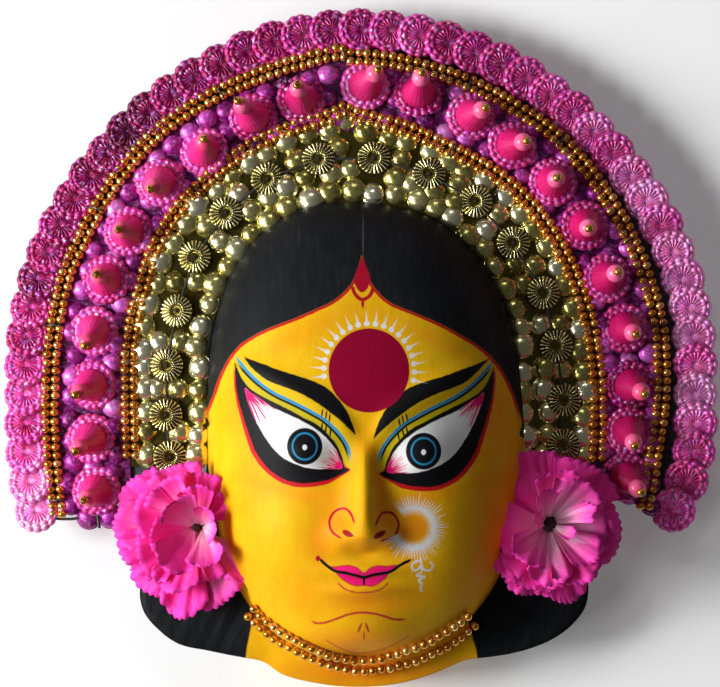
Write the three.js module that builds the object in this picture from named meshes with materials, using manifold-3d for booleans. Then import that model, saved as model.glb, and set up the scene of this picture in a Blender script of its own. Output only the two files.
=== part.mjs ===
// A chhau dance mask: a papier mache head with a neck and side locks, and a fan shaped
// crown of foil rosettes, bead strings, cone ornaments and gold florets round it.
// Millimetres. The mask lies on its back: +Z out of the face, +Y to the top of the crown.
import * as THREE from "three";
import Module from "manifold-3d";

const wasm = await Module();
wasm.setup();

// Head
const HEAD_WIDTH = 190;
const HEAD_DEPTH = 100;
const WALL = 4;
const RIM_EDGE = 28;
const NECK_EDGE = 42;

// Crown
const CROWN_RADIUS = 215;
const CROWN_LEG = 89;
const LEG_LEAN = 0.06;
const BOARD_RISE = 34;
const BOARD_DROP = 18;
const BOARD_THICK = 3;
const FOIL_THICK = 2;
const GAP = 0.3;

// Trim
const BEAD = 5;
const CONES = 21;
const CONE_HEIGHT = 19;
const FLORETS = 16;
const FLORET_HEIGHT = 5;
const RIM_ROSETTES = 47;

// Sizes that follow from the ones above
const HALF = HEAD_WIDTH / 2;
const BAND = CROWN_RADIUS - HALF;
const FAN_Y = 0.663 * HALF;
const HEAD_ASIDE = 0.02 * HALF;
const FLOWER_WIDTH = 0.442 * HEAD_WIDTH;
const SLOPE = BOARD_DROP / BAND;
const row = (share) => HALF + share * BAND;
const R_FLORETS = row(0.205);
const R_INNER_BEADS = row(0.378);
const R_CONES = row(0.55);
const R_OUTER_BEADS = row(0.733);
const R_RIM = row(0.89);
const ROW_STEP = 0.58 * BEAD;
const CLEAR = GAP + BEAD / 2;

const smooth = (t) => {
  const s = Math.min(1, Math.max(0, t));
  return s * s * (3 - 2 * s);
};
const lerp = (a, b, t) => a + (b - a) * t;
const bell = (d, width) => Math.exp(-(d * d) / (width * width));

// The head's outline seen from the front: degrees from +X about the middle of the face,
// and the distance there as a share of half the head's width.
const HEAD_OUTLINE = [
  [0, 1.017], [15, 1.05], [30, 1.145], [45, 1.316], [60, 1.512], [75, 1.653],
  [90, 1.695], [105, 1.699], [120, 1.558], [135, 1.33], [150, 1.14], [165, 1.026],
  [180, 0.98], [195, 0.962], [210, 0.995], [225, 1.068], [240, 1.153], [255, 1.2],
  [270, 1.172], [285, 1.178], [300, 1.147], [315, 1.082], [330, 1.021], [345, 1.002],
];
// The same for the neck and the side locks, which stand out from under the jaw.
const BODY_OUTLINE = [
  [0, 1.03], [15, 1.066], [30, 1.161], [45, 1.332], [60, 1.528], [75, 1.669],
  [90, 1.711], [105, 1.715], [120, 1.574], [135, 1.346], [150, 1.156], [165, 1.042],
  [180, 0.998], [190, 1.116], [197, 1.313], [203, 1.478], [208, 1.6], [212.5, 1.647],
  [217, 1.641], [223, 1.6], [229.5, 1.495], [238, 1.393], [242.5, 1.362], [248, 1.383],
  [257, 1.373], [270, 1.364], [280, 1.36], [290, 1.35], [297, 1.35], [301, 1.38],
  [313, 1.533], [319, 1.6], [324, 1.632], [329, 1.632], [335, 1.545], [340, 1.384],
  [346, 1.196], [353, 1.056],
];

// A smooth closed curve of radius against angle through such a list.
function outline(list, degrees) {
  const a = ((degrees % 360) + 360) % 360;
  const n = list.length;
  let i = n - 1;
  while (list[i][0] > a) i -= 1;
  const get = (k) => {
    const turn = Math.floor(k / n);
    const p = list[((k % n) + n) % n];
    return [p[0] + 360 * turn, p[1]];
  };
  const [p0, p1, p2, p3] = [get(i - 1), get(i), get(i + 1), get(i + 2)];
  const h = p2[0] - p1[0];
  const t = (a - p1[0]) / h;
  const m1 = (h * (p2[1] - p0[1])) / (p2[0] - p0[0]);
  const m2 = (h * (p3[1] - p1[1])) / (p3[0] - p1[0]);
  const t2 = t * t;
  const t3 = t2 * t;
  return (2 * t3 - 3 * t2 + 1) * p1[1] + (t3 - 2 * t2 + t) * m1
    + (3 * t2 - 2 * t3) * p2[1] + (t3 - t2) * m2;
}

// How far the moulded features stand out of the plain dome. x and y are shares of HALF.
function features(x, y) {
  const down = y > -0.36 ? smooth((0.3 - y) / 0.66) : smooth((y + 0.5) / 0.13);
  const ridge = 0.18 * down * bell(x, lerp(0.075, 0.12, down));
  const wings = 0.075 * (bell(Math.hypot(x - 0.13, (y + 0.38) * 1.1), 0.09)
    + bell(Math.hypot(x + 0.13, (y + 0.38) * 1.1), 0.09));
  const lips = 0.045 * bell(x, 0.24) * (bell(y + 0.6, 0.05) + 1.1 * bell(y + 0.715, 0.055));
  const chin = 0.06 * bell(Math.hypot(x, (y + 0.98) * 1.2), 0.24);
  const side = Math.abs(x);
  const eyes = 0.05 * bell(Math.hypot((side - 0.39) * 0.75, y - 0.14 - 0.1 * (side - 0.39)), 0.13);
  const brow = 0.03 * bell(y - 0.3 - 0.85 * (side - 0.1) + 0.35 * side * side, 0.09)
    * smooth(side / 0.15) * smooth((0.95 - side) / 0.3);
  const cheeks = 0.04 * bell(Math.hypot(side - 0.52, y + 0.36), 0.26);
  const bridge = -0.035 * bell(Math.hypot(side - 0.16, y - 0.08), 0.12);
  return HALF * (ridge + wings + lips + chin + eyes + brow + cheeks + bridge);
}

const low = (degrees) => {
  const a = ((degrees % 360) + 360) % 360;
  return smooth((a - 185) / 30) * smooth((355 - a) / 30);
};

// The outer surface at one bearing and one share of the way out: 0 the middle of the
// face, 1 the jaw or hair edge, 2 the outer edge of the neck and locks.
function headPoint(degrees, share, grow, detail) {
  const rad = (degrees * Math.PI) / 180;
  const inner = HALF * outline(HEAD_OUTLINE, degrees);
  const outer = HALF * outline(BODY_OUTLINE, degrees);
  const edge = lerp(RIM_EDGE, NECK_EDGE, low(degrees));
  const out = share <= 1 ? share * (inner + grow) : lerp(inner, outer, share - 1) + grow;
  const x = out * Math.cos(rad);
  const y = out * Math.sin(rad);
  const t = Math.min(1, share);
  const dome = edge + (HEAD_DEPTH - edge) * Math.sqrt(Math.max(0, 1 - t ** 2.4));
  const faded = detail * smooth((1 - t) / 0.12);
  const fall = lerp(0.14 * RIM_EDGE, 0.21 * NECK_EDGE, low(degrees));
  const apron = share > 1 ? -(share - 1) * fall : 0;
  return new THREE.Vector3(
    x + HEAD_ASIDE,
    y - FAN_Y,
    dome + apron + faded * features(x / HALF, y / HALF) + grow,
  );
}

// The height of the outer surface over a place in the plan.
function headHeight(px, py) {
  const x = px - HEAD_ASIDE;
  const y = py + FAN_Y;
  const degrees = (Math.atan2(y, x) * 180) / Math.PI;
  const r = Math.hypot(x, y);
  const inner = HALF * outline(HEAD_OUTLINE, degrees);
  const outer = HALF * outline(BODY_OUTLINE, degrees);
  const share = r <= inner ? r / inner : 1 + (r - inner) / (outer - inner);
  return share > 2 ? 0 : headPoint(degrees, share, 0, 1).z;
}

// A closed body from rings of points, with a point closing each end.
function loft(rings, first, last) {
  const n = rings[0].length;
  const positions = [first, ...rings.flat(), last];
  const end = positions.length - 1;
  const index = [];
  for (let j = 0; j < n; j += 1) {
    const k = (j + 1) % n;
    index.push(0, 1 + k, 1 + j);
    for (let i = 0; i < rings.length - 1; i += 1) {
      const a = 1 + i * n;
      const b = a + n;
      index.push(a + j, a + k, b + j);
      index.push(a + k, b + k, b + j);
    }
    const a = 1 + (rings.length - 1) * n;
    index.push(a + j, a + k, end);
  }
  let volume = 0;
  for (let i = 0; i < index.length; i += 3) {
    const [p, q, r] = [positions[index[i]], positions[index[i + 1]], positions[index[i + 2]]];
    volume += p.dot(q.clone().cross(r));
  }
  if (volume < 0) {
    for (let i = 0; i < index.length; i += 3) {
      [index[i], index[i + 1]] = [index[i + 1], index[i]];
    }
  }
  const geometry = new THREE.BufferGeometry();
  geometry.setAttribute(
    "position",
    new THREE.Float32BufferAttribute(positions.flatMap((p) => [p.x, p.y, p.z]), 3),
  );
  geometry.setIndex(index);
  return geometry;
}

const middle = (ring) => ring
  .reduce((sum, p) => sum.add(p), new THREE.Vector3())
  .multiplyScalar(1 / ring.length);

function solid(geometry) {
  return new wasm.Manifold(new wasm.Mesh({
    numProp: 3,
    vertProperties: new Float32Array(geometry.getAttribute("position").array),
    triVerts: new Uint32Array(geometry.getIndex().array),
  }));
}

function geometryOf(body) {
  const mesh = body.getMesh();
  const geometry = new THREE.BufferGeometry();
  geometry.setAttribute("position", new THREE.Float32BufferAttribute(mesh.vertProperties, 3));
  geometry.setIndex(Array.from(mesh.triVerts));
  return geometry;
}

const group = new THREE.Group();
group.name = "chhau_mask";

const looks = {
  face: new THREE.MeshStandardMaterial({ color: 0xf2c31d, roughness: 0.5, name: "face_paint" }),
  board: new THREE.MeshStandardMaterial({ color: 0x17171a, roughness: 0.8, name: "board" }),
  pink: new THREE.MeshStandardMaterial({ color: 0xc73a80, roughness: 0.3, name: "pink_foil" }),
  gold: new THREE.MeshStandardMaterial({ color: 0xa8791a, roughness: 0.3, name: "gold_foil" }),
  beads: new THREE.MeshStandardMaterial({ color: 0xc99a2a, roughness: 0.25, name: "beads" }),
  cones: new THREE.MeshStandardMaterial({ color: 0xe85aa8, roughness: 0.4, name: "cones" }),
  cloth: new THREE.MeshStandardMaterial({ color: 0xe01e8c, roughness: 0.9, name: "cloth" }),
};

function add(name, geometry, material) {
  const mesh = new THREE.Mesh(geometry, material);
  mesh.name = name;
  group.add(mesh);
}

// The head: the outer surface, the flat back rim and the inner surface in one body.
const BEARINGS = 42;
const bearings = Array.from({ length: BEARINGS }, (_, i) => (360 * i) / BEARINGS);
const outerShares = [0.09, 0.17, 0.25, 0.33, 0.41, 0.49, 0.57, 0.65, 0.73, 0.81, 0.88, 0.94, 0.98, 1];
const innerShares = [1, 0.97, 0.88, 0.7, 0.48, 0.24];

const shellRings = outerShares.map((s) => bearings.map((b) => headPoint(b, s, 0, 1)));
for (const s of [1.5, 2]) shellRings.push(bearings.map((b) => headPoint(b, s, 0, 1)));
shellRings.push(bearings.map((b) => headPoint(b, 2, 0, 1).setZ(0)));
shellRings.push(bearings.map((b) => headPoint(b, 2, -WALL, 1).setZ(0)));
shellRings.push(bearings.map((b) => headPoint(b, 2, -WALL, 1)));
for (const s of innerShares) shellRings.push(bearings.map((b) => headPoint(b, s, -WALL, 0.75)));
add(
  "mask_shell",
  loft(shellRings, headPoint(0, 0, 0, 1), headPoint(0, 0, -WALL, 0.75)),
  looks.face,
);

// The same outer surface, grown by the clearance and filled, to cut what fits round it.
const cutRings = [...outerShares, 1.5, 2].map((s) => bearings.map((b) => headPoint(b, s, GAP, 1)));
cutRings.push(bearings.map((b) => headPoint(b, 2, GAP, 1).setZ(-5)));
const headCut = solid(loft(cutRings, headPoint(0, 0, GAP, 1), new THREE.Vector3(0, -FAN_Y, -5)));

// The crown runs round the head as a horseshoe: q from -1 to 0 is the left leg, from 0
// to 1 the arch over the top, from 1 to 2 the right leg. The legs lean in a little.
function horseshoe(radius, leg, q) {
  const lean = (LEG_LEAN * radius) / CROWN_RADIUS;
  if (q < 0) return { x: -radius - q * leg * lean, y: q * leg, nx: -1, ny: 0 };
  if (q > 1) return { x: radius + (1 - q) * leg * lean, y: (1 - q) * leg, nx: 1, ny: 0 };
  const turn = Math.PI * (1 - q);
  const [nx, ny] = [Math.cos(turn), Math.sin(turn)];
  return { x: radius * nx, y: radius * ny, nx, ny };
}

// The q of a place that lies a share of the whole length along the horseshoe.
function along(radius, leg, share) {
  const arch = Math.PI * radius;
  const d = share * (arch + 2 * leg);
  if (d < leg) return d / leg - 1;
  if (d > leg + arch) return 1 + (d - leg - arch) / leg;
  return (d - leg) / arch;
}

const boardTop = (radius) => BOARD_RISE - SLOPE * (radius - HALF);

function place(radius, leg, q, lift) {
  const p = horseshoe(radius, leg, q);
  return new THREE.Vector3(p.x, p.y, boardTop(radius) + lift);
}

const stations = (legSteps, archSteps) => [
  ...Array.from({ length: legSteps }, (_, i) => i / legSteps - 1),
  ...Array.from({ length: archSteps + 1 }, (_, i) => i / archSteps),
  ...Array.from({ length: legSteps }, (_, i) => 1 + (i + 1) / legSteps),
];

// A flat strip of the crown between two radii, resting a height above the board.
function strip(qs, inside, outside, lift, thick) {
  const rings = qs.map((q) => {
    const [ri, li] = inside(q);
    const [ro, lo] = outside(q);
    return [
      place(ri, li, q, lift + thick),
      place(ro, lo, q, lift + thick),
      place(ro, lo, q, lift),
      place(ri, li, q, lift),
    ];
  });
  return loft(rings, middle(rings[0]), middle(rings[rings.length - 1]));
}

// A string of beads as a round bar along the horseshoe.
const STRING_SIDES = 5;
function string(radius, leg, qs, lift) {
  const rings = qs.map((q) => {
    const p = horseshoe(radius, leg, q);
    return Array.from({ length: STRING_SIDES }, (_, i) => {
      const a = (2 * Math.PI * (i + 0.75)) / STRING_SIDES;
      const across = (BEAD / 2) * Math.cos(a);
      return new THREE.Vector3(
        p.x + across * p.nx,
        p.y + across * p.ny,
        boardTop(radius) + lift + (BEAD / 2) * Math.sin(a),
      );
    });
  });
  return loft(rings, middle(rings[0]), middle(rings[rings.length - 1]));
}

const FOOT_INNER = 0.64 * CROWN_LEG;
const FOOT_CONES = 0.82 * CROWN_LEG;
const R_SPLIT = R_INNER_BEADS;

const boardRing = strip(
  stations(3, 30),
  () => [HALF * 0.97, FOOT_INNER - 5],
  () => [R_RIM - 0.05 * BAND, CROWN_LEG],
  -BOARD_THICK,
  BOARD_THICK,
);
add("crown_board", geometryOf(solid(boardRing).subtract(headCut)), looks.board);

const goldRing = strip(
  stations(3, 26),
  () => [HALF * 0.97, FOOT_INNER - 3],
  () => [R_SPLIT - GAP, FOOT_INNER + 4],
  GAP,
  FOIL_THICK,
);
add("gold_cup_band", geometryOf(solid(goldRing).subtract(headCut)), looks.gold);

add(
  "pink_cup_band",
  strip(
    stations(3, 26),
    () => [R_SPLIT + GAP, FOOT_CONES],
    () => [R_OUTER_BEADS - GAP, CROWN_LEG],
    GAP,
    FOIL_THICK,
  ),
  looks.pink,
);

// The rim rosettes overlap like shingles, so they are one band with a scalloped edge.
const ROSETTE = 0.112 * BAND;
const rimSteps = RIM_ROSETTES * 4;
const rimQs = Array.from({ length: rimSteps + 1 }, (_, i) => (
  along(R_RIM, CROWN_LEG, i / rimSteps)
));
const scallop = (i) => {
  const pitch = (Math.PI * R_RIM + 2 * CROWN_LEG) / RIM_ROSETTES;
  const off = (Math.abs((i % 4) - 2) * pitch) / 4;
  return Math.sqrt(ROSETTE ** 2 - off ** 2);
};
const rimRings = rimQs.map((q, i) => {
  const reach = scallop(i);
  const inner = Math.max(R_RIM - reach, R_OUTER_BEADS + GAP);
  const lift = GAP;
  return [
    place(inner, CROWN_LEG, q, lift + FOIL_THICK),
    place(R_RIM + reach, CROWN_LEG, q, lift + FOIL_THICK),
    place(R_RIM + reach, CROWN_LEG, q, lift),
    place(inner, CROWN_LEG, q, lift),
  ];
});
add(
  "rim_rosettes",
  loft(rimRings, middle(rimRings[0]), middle(rimRings[rimRings.length - 1])),
  looks.pink,
);

const onFoil = GAP + FOIL_THICK + CLEAR;
const outerQs = stations(3, 26);
const innerQs = stations(3, 20);
add("outer_beads_far", string(R_OUTER_BEADS + ROW_STEP, CROWN_LEG, outerQs, onFoil), looks.beads);
add("outer_beads_near", string(R_OUTER_BEADS - ROW_STEP, CROWN_LEG, outerQs, onFoil), looks.beads);
add("inner_beads_far", string(R_INNER_BEADS + ROW_STEP, FOOT_INNER, innerQs, onFoil), looks.beads);
add("inner_beads_near", string(R_INNER_BEADS - ROW_STEP, FOOT_INNER, innerQs, onFoil), looks.beads);

// Turns a body that was made standing on the plan so that it stands square on the board.
function stand(geometry, radius, leg, q, lift) {
  const p = horseshoe(radius, leg, q);
  const up = new THREE.Vector3(SLOPE * p.nx, SLOPE * p.ny, 1).normalize();
  geometry.applyQuaternion(new THREE.Quaternion().setFromUnitVectors(
    new THREE.Vector3(0, 0, 1),
    up,
  ));
  const at = place(radius, leg, q, lift);
  geometry.translate(at.x, at.y, at.z);
  return geometry;
}

function lathe(profile, sides, lean) {
  const top = profile[profile.length - 1][1];
  const rings = profile.slice(1, -1).map(([r, z]) => (
    Array.from({ length: sides }, (_, i) => {
      const a = (2 * Math.PI * i) / sides;
      const s = Math.max(0, z) / top;
      return new THREE.Vector3(r * Math.cos(a) + lean[0] * s, r * Math.sin(a) + lean[1] * s, z);
    })
  ));
  return loft(
    rings,
    new THREE.Vector3(0, 0, profile[0][1]),
    new THREE.Vector3(lean[0], lean[1], top),
  );
}

// Cone ornaments: a foil rosette, a ribbed cone, a ball and a bead on one wire. Each is
// bent a little its own way, as a share of the cone's height to the right and upwards.
const CONE_LEANS = [
  [-0.57, -0.35], [-0.55, -0.1], [-0.6, 0.05], [-0.5, 0], [-0.45, 0.1], [-0.5, -0.2],
  [-0.3, 0.2], [-0.45, -0.25], [0, 0.32], [-0.4, 0.5], [0, 0.45], [0.4, 0.5],
  [0.05, 0.6], [0.35, 0.25], [0.4, 0.12], [0.05, 0.12], [0.1, -0.1], [0.4, 0.1],
  [0.35, -0.2], [0.55, -0.28], [0.45, -0.45],
];
const conePitch = (Math.PI * R_CONES + 2 * FOOT_CONES) / (CONES - 1);
const coneRosette = Math.min(0.125 * BAND, 0.46 * conePitch);
const coneBase = 0.62 * coneRosette;
const ball = 0.36 * coneRosette;
for (let i = 0; i < CONES; i += 1) {
  const q = along(R_CONES, FOOT_CONES, i / (CONES - 1));
  const [lx, ly] = CONE_LEANS[i % CONE_LEANS.length];
  const top = CONE_HEIGHT + 1.75 * ball + 0.8 * BEAD;
  const profile = [
    [0, 0],
    [coneRosette, 0.8],
    [coneRosette * 0.97, 2.4],
    [coneBase, 2.6],
    [coneBase * 0.72, 0.45 * CONE_HEIGHT],
    [ball * 0.45, CONE_HEIGHT],
    [ball, CONE_HEIGHT + 0.8 * ball],
    [ball * 0.45, CONE_HEIGHT + 1.75 * ball],
    [0, top],
  ];
  const geometry = lathe(profile, 6, [lx * CONE_HEIGHT, ly * CONE_HEIGHT]);
  const name = `cone_ornament_${String(i + 1).padStart(2, "0")}`;
  add(name, stand(geometry, R_CONES, FOOT_CONES, q, GAP * 2 + FOIL_THICK), looks.cones);
}

// Gold florets: ribbed foil dishes with a pit in the middle.
const floretLeg = 0.58 * CROWN_LEG;
const floretPitch = (Math.PI * R_FLORETS + 2 * floretLeg) / (FLORETS - 1);
const floret = Math.min(0.086 * BAND, 0.46 * floretPitch);
for (let i = 0; i < FLORETS; i += 1) {
  const q = along(R_FLORETS, floretLeg, i / (FLORETS - 1));
  const profile = [
    [0, 0],
    [floret * 0.85, 0],
    [floret, 0.45 * FLORET_HEIGHT],
    [floret * 0.62, FLORET_HEIGHT],
    [floret * 0.3, 0.85 * FLORET_HEIGHT],
    [0, 0.45 * FLORET_HEIGHT],
  ];
  const geometry = lathe(profile, 8, [0, 0]);
  const name = `gold_floret_${String(i + 1).padStart(2, "0")}`;
  add(name, stand(geometry, R_FLORETS, floretLeg, q, GAP * 2 + FOIL_THICK), looks.gold);
}

// Necklace: two strings of beads that hang over the neck below the jaw.
function necklace(halfSpan, sideY, lowY) {
  const steps = 16;
  const rings = Array.from({ length: steps + 1 }, (_, i) => {
    const s = (2 * i) / steps - 1;
    const x = HEAD_ASIDE + s * halfSpan;
    const y = lerp(lowY, sideY, Math.abs(s) ** 1.9);
    const slope = (1.9 * (sideY - lowY) * Math.sign(s) * Math.abs(s) ** 0.9) / halfSpan;
    const n = Math.hypot(1, slope);
    let z = 0;
    for (let k = 0; k < 12; k += 1) {
      const a = (Math.PI * k) / 6;
      z = Math.max(z, headHeight(x + CLEAR * Math.cos(a), y + CLEAR * Math.sin(a)));
    }
    return Array.from({ length: STRING_SIDES }, (_, k) => {
      const a = (2 * Math.PI * (k + 0.75)) / STRING_SIDES;
      const across = (BEAD / 2) * Math.cos(a);
      return new THREE.Vector3(
        x - (across * slope) / n,
        y + across / n,
        z + CLEAR + 1 + (BEAD / 2) * Math.sin(a),
      );
    });
  });
  return loft(rings, middle(rings[0]), middle(rings[rings.length - 1]));
}
const necklaceUpper = necklace(0.68 * HALF, -1.56 * HALF, -1.9 * HALF);
const necklaceLower = necklace(0.71 * HALF, -1.61 * HALF, -1.965 * HALF);
add("necklace_upper", necklaceUpper, looks.beads);
add("necklace_lower", necklaceLower, looks.beads);

// Cloth flowers: ruffled layers round a gathered heart, one beside each jaw.
function flower(side) {
  const r = FLOWER_WIDTH / 2;
  const petals = 8;
  const layers = [
    [0.35, -0.34, 0], [0.8, -0.26, 0.1], [1, -0.02, 0.14], [0.8, 0.1, 0.1],
    [0.74, 0.28, 0.16], [0.46, 0.34, 0.12], [0.36, 0.5, 0.16],
  ];
  const n = 3 * petals;
  const rings = layers.map(([reach, z, wave], level) => (
    Array.from({ length: n }, (_, i) => {
      const a = (2 * Math.PI * i) / n;
      const ruffle = 1 + wave * Math.cos(petals * a + level);
      const lift = 0.5 * wave * Math.sin(petals * a + 2 * level);
      return new THREE.Vector3(
        0.93 * r * reach * ruffle * Math.cos(a),
        1.12 * r * reach * ruffle * Math.sin(a),
        r * (z + lift),
      );
    })
  ));
  const body = loft(rings, new THREE.Vector3(0, 0, -0.36 * r), new THREE.Vector3(0, 0, 0.42 * r));
  body.rotateY(side * 0.22);
  body.translate(side * 1.2 * HALF, -1.2 * HALF, BOARD_RISE + 0.56 * r);
  return body;
}
for (const [name, side] of [["flower_left", -1], ["flower_right", 1]]) {
  add(name, geometryOf(solid(flower(side)).subtract(headCut)), looks.cloth);
}

// The origin is the middle of the whole mask in the plan, at the plane it lies on.
const box = new THREE.Box3().setFromObject(group);
const centre = box.getCenter(new THREE.Vector3());
for (const mesh of group.children) {
  mesh.geometry.translate(-centre.x, -centre.y, -box.min.z);
}

export default group;
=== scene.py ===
import bpy
import math
import numpy as np
from mathutils import Vector, Matrix


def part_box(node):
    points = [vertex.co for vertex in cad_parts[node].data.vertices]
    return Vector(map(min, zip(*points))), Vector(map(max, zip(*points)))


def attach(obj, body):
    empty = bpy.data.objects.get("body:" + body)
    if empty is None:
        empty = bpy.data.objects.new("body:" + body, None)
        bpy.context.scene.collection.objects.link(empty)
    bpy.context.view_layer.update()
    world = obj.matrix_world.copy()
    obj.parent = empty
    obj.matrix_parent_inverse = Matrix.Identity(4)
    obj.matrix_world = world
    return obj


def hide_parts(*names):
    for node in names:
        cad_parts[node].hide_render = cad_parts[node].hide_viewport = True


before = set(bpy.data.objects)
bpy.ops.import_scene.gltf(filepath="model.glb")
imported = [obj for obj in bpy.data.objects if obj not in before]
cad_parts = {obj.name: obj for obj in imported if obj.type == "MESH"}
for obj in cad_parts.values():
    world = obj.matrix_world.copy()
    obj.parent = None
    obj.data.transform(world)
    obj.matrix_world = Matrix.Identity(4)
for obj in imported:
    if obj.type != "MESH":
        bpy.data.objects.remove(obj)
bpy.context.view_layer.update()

rng = np.random.default_rng(7)

# Metres per picture unit at the plane of the crown, and the place of the crown's spine in the picture
U = 0.0006
SPINE_X, SPINE_Y = 361, 365
# The head's half width and the crown's width; the camera's distance from the plane at Z_REF
HALF = 0.095
BAND = 0.12
FAN_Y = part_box("crown_board")[1][1] - (HALF + 0.84 * BAND)
HEAD_X, HEAD_DROP = 0.02 * HALF, 0.663 * HALF
Z_REF = 0.025
DIST, SENSOR, PICTURE_WIDTH, PICTURE_MID_Y = 2.4, 36, 720, 343.5
CAM = (-U, (SPINE_Y - PICTURE_MID_Y) * U + FAN_Y)


def spot(px, py, z):
    """The place at height z that is seen at picture place px, py."""
    k = (DIST - (z - Z_REF)) / DIST
    x = (px - SPINE_X) * U
    y = (SPINE_Y - py) * U + FAN_Y
    return (CAM[0] + (x - CAM[0]) * k, CAM[1] + (y - CAM[1]) * k, z)


def picture(x, y, z):
    """The picture place of points in space, for arrays."""
    k = DIST / (DIST - (z - Z_REF))
    qx = CAM[0] + (x - CAM[0]) * k
    qy = CAM[1] + (y - CAM[1]) * k
    return SPINE_X + qx / U, SPINE_Y - (qy - FAN_Y) / U


# Camera
def link(name, data):
    """A new object in the scene."""
    ob = bpy.data.objects.new(name, data)
    bpy.context.scene.collection.objects.link(ob)
    return ob


cam_data = bpy.data.cameras.new("camera")
cam = link("camera", cam_data)
cam_data.sensor_width = SENSOR
cam_data.lens = SENSOR * DIST / (PICTURE_WIDTH * U)
cam_data.clip_end = 20
cam.location = (CAM[0], CAM[1], Z_REF + DIST)
bpy.context.scene.camera = cam
bpy.context.scene.view_settings.view_transform = "Standard"


class Nodes:
    """A small builder for one material's node tree."""

    def __init__(self, name):
        self.mat = bpy.data.materials.new(name)
        self.mat.use_nodes = True
        self.tree = self.mat.node_tree
        self.shader = self.tree.nodes["Principled BSDF"]

    def node(self, kind, inputs=(), **settings):
        """A new node, whose inputs are values or sockets of other nodes."""
        n = self.tree.nodes.new("ShaderNode" + kind)
        for key, value in settings.items():
            setattr(n, key, value)
        for key, value in dict(inputs).items():
            self.put(n.inputs[key], value)
        return n

    def put(self, socket, value):
        if isinstance(value, bpy.types.NodeSocket):
            self.tree.links.new(value, socket)
        else:
            socket.default_value = (*value, 1) if socket.type == "RGBA" else value

    def set(self, **inputs):
        for key, value in inputs.items():
            self.put(self.shader.inputs[key.replace("_", " ")], value)

    def math(self, op, *values, clamp=False):
        return self.node("Math", enumerate(values), operation=op, use_clamp=clamp).outputs[0]

    def mul(self, first, *others, clamp=False):
        for value in others:
            first = self.math("MULTIPLY", first, value, clamp=clamp)
        return first

    def add(self, a, b, clamp=False):
        return self.math("ADD", a, b, clamp=clamp)

    def sub(self, a, b):
        return self.math("SUBTRACT", a, b)

    def div(self, a, b):
        return self.math("DIVIDE", a, b)

    def size(self, a):
        return self.math("ABSOLUTE", a)

    def mix(self, factor, a, b, blend="MIX"):
        return self.node("Mix", {0: factor, 6: a, 7: b}, data_type="RGBA", blend_type=blend).outputs[2]

    def ramp(self, value, stops):
        n = self.node("ValToRGB", {0: value})
        while len(n.color_ramp.elements) < len(stops):
            n.color_ramp.elements.new(0.5)
        for e, (at, colour) in zip(n.color_ramp.elements, stops):
            e.position = at
            e.color = (*colour, 1)
        return n.outputs[0]

    def two(self, value, dark, light):
        return self.ramp(value, [(0.3, dark), (0.7, light)])

    def span(self, value, a, b, c=0.0, d=1.0):
        n = self.node("MapRange", enumerate((value, a, b, c, d)), interpolation_type="SMOOTHSTEP")
        return n.outputs[0]

    def place(self):
        return self.node("TexCoord").outputs["Object"]

    def stretch(self, scale):
        return self.node("Mapping", {"Vector": self.place(), "Scale": scale}).outputs[0]

    def noise(self, scale, detail=3.0, rough=0.5, vector=None, distort=0.0):
        vector = self.place() if vector is None else vector
        inputs = {"Scale": scale, "Detail": detail, "Roughness": rough, "Distortion": distort}
        return self.node("TexNoise", {**inputs, "Vector": vector}).outputs[0]

    def voronoi(self, scale, feature="F1", vector=None, out=0):
        vector = self.place() if vector is None else vector
        return self.node("TexVoronoi", {"Scale": scale, "Vector": vector}, feature=feature).outputs[out]

    def attr(self, name):
        return self.node("Attribute", attribute_name=name).outputs["Fac"]

    def fringe(self, angle, scale):
        n = self.node("TexNoise", {"W": angle, "Scale": scale, "Detail": 1.0}, noise_dimensions="1D")
        return self.span(n.outputs[0], 0.3, 0.7)

    def bump(self, height, strength, distance):
        n = self.node("Bump", {"Height": height, "Strength": strength, "Distance": distance})
        self.set(Normal=n.outputs[0])

    def within(self, distance, half, soft):
        """1 where a distance in picture units is below half, with a soft painted edge."""
        return self.span(distance, half - soft, half + soft, 1.0, 0.0)


def mesh(name, verts, faces, materials, slots, attrs, slot, replaces=()):
    """Adds a piece to the root body; slots name the material of each face."""
    me = bpy.data.meshes.new(name)
    me.from_pydata([tuple(v) for v in verts], [], faces)
    for m in materials:
        me.materials.append(m)
    me.polygons.foreach_set("material_index", slots)
    me.polygons.foreach_set("use_smooth", [True] * len(me.polygons))
    for key, values in attrs.items():
        a = me.attributes.new(key, "FLOAT", "POINT")
        a.data.foreach_set("value", np.asarray(values, dtype=np.float32))
    me.update()
    ob = link(name, me)
    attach(ob, "root")
    if replaces:
        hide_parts(*replaces)


class Pile:
    """Collects many small bodies into one mesh, with values per point."""

    def __init__(self):
        self.v, self.f, self.s = [], [], []
        self.a = {}
        self.n = 0

    def add(self, verts, faces, slot=0, **values):
        verts = np.asarray(verts, float)
        for key, value in values.items():
            self.a.setdefault(key, []).append(np.broadcast_to(np.asarray(value, float), (len(verts),)))
        self.v.append(verts)
        self.f.extend([tuple(i + self.n for i in face) for face in faces])
        self.s.extend([slot] * len(faces))
        self.n += len(verts)

    def seat(self, body, normal, at, spin=0.0, **values):
        """Adds a body turned so that +Z is along the normal."""
        self.add(body[0] @ turn(normal, spin).T + np.array(at), body[1], **values)

    def build(self, name, materials, **more):
        attrs = {k: np.concatenate(v) for k, v in self.a.items()}
        mesh(name, np.concatenate(self.v), self.f, materials, self.s, attrs, **more)


def grid_faces(rows, cols, closed=True):
    return [(i * cols + j, i * cols + (j + 1) % cols, (i + 1) * cols + (j + 1) % cols, (i + 1) * cols + j)
            for i in range(rows - 1) for j in range(cols if closed else cols - 1)]


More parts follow.
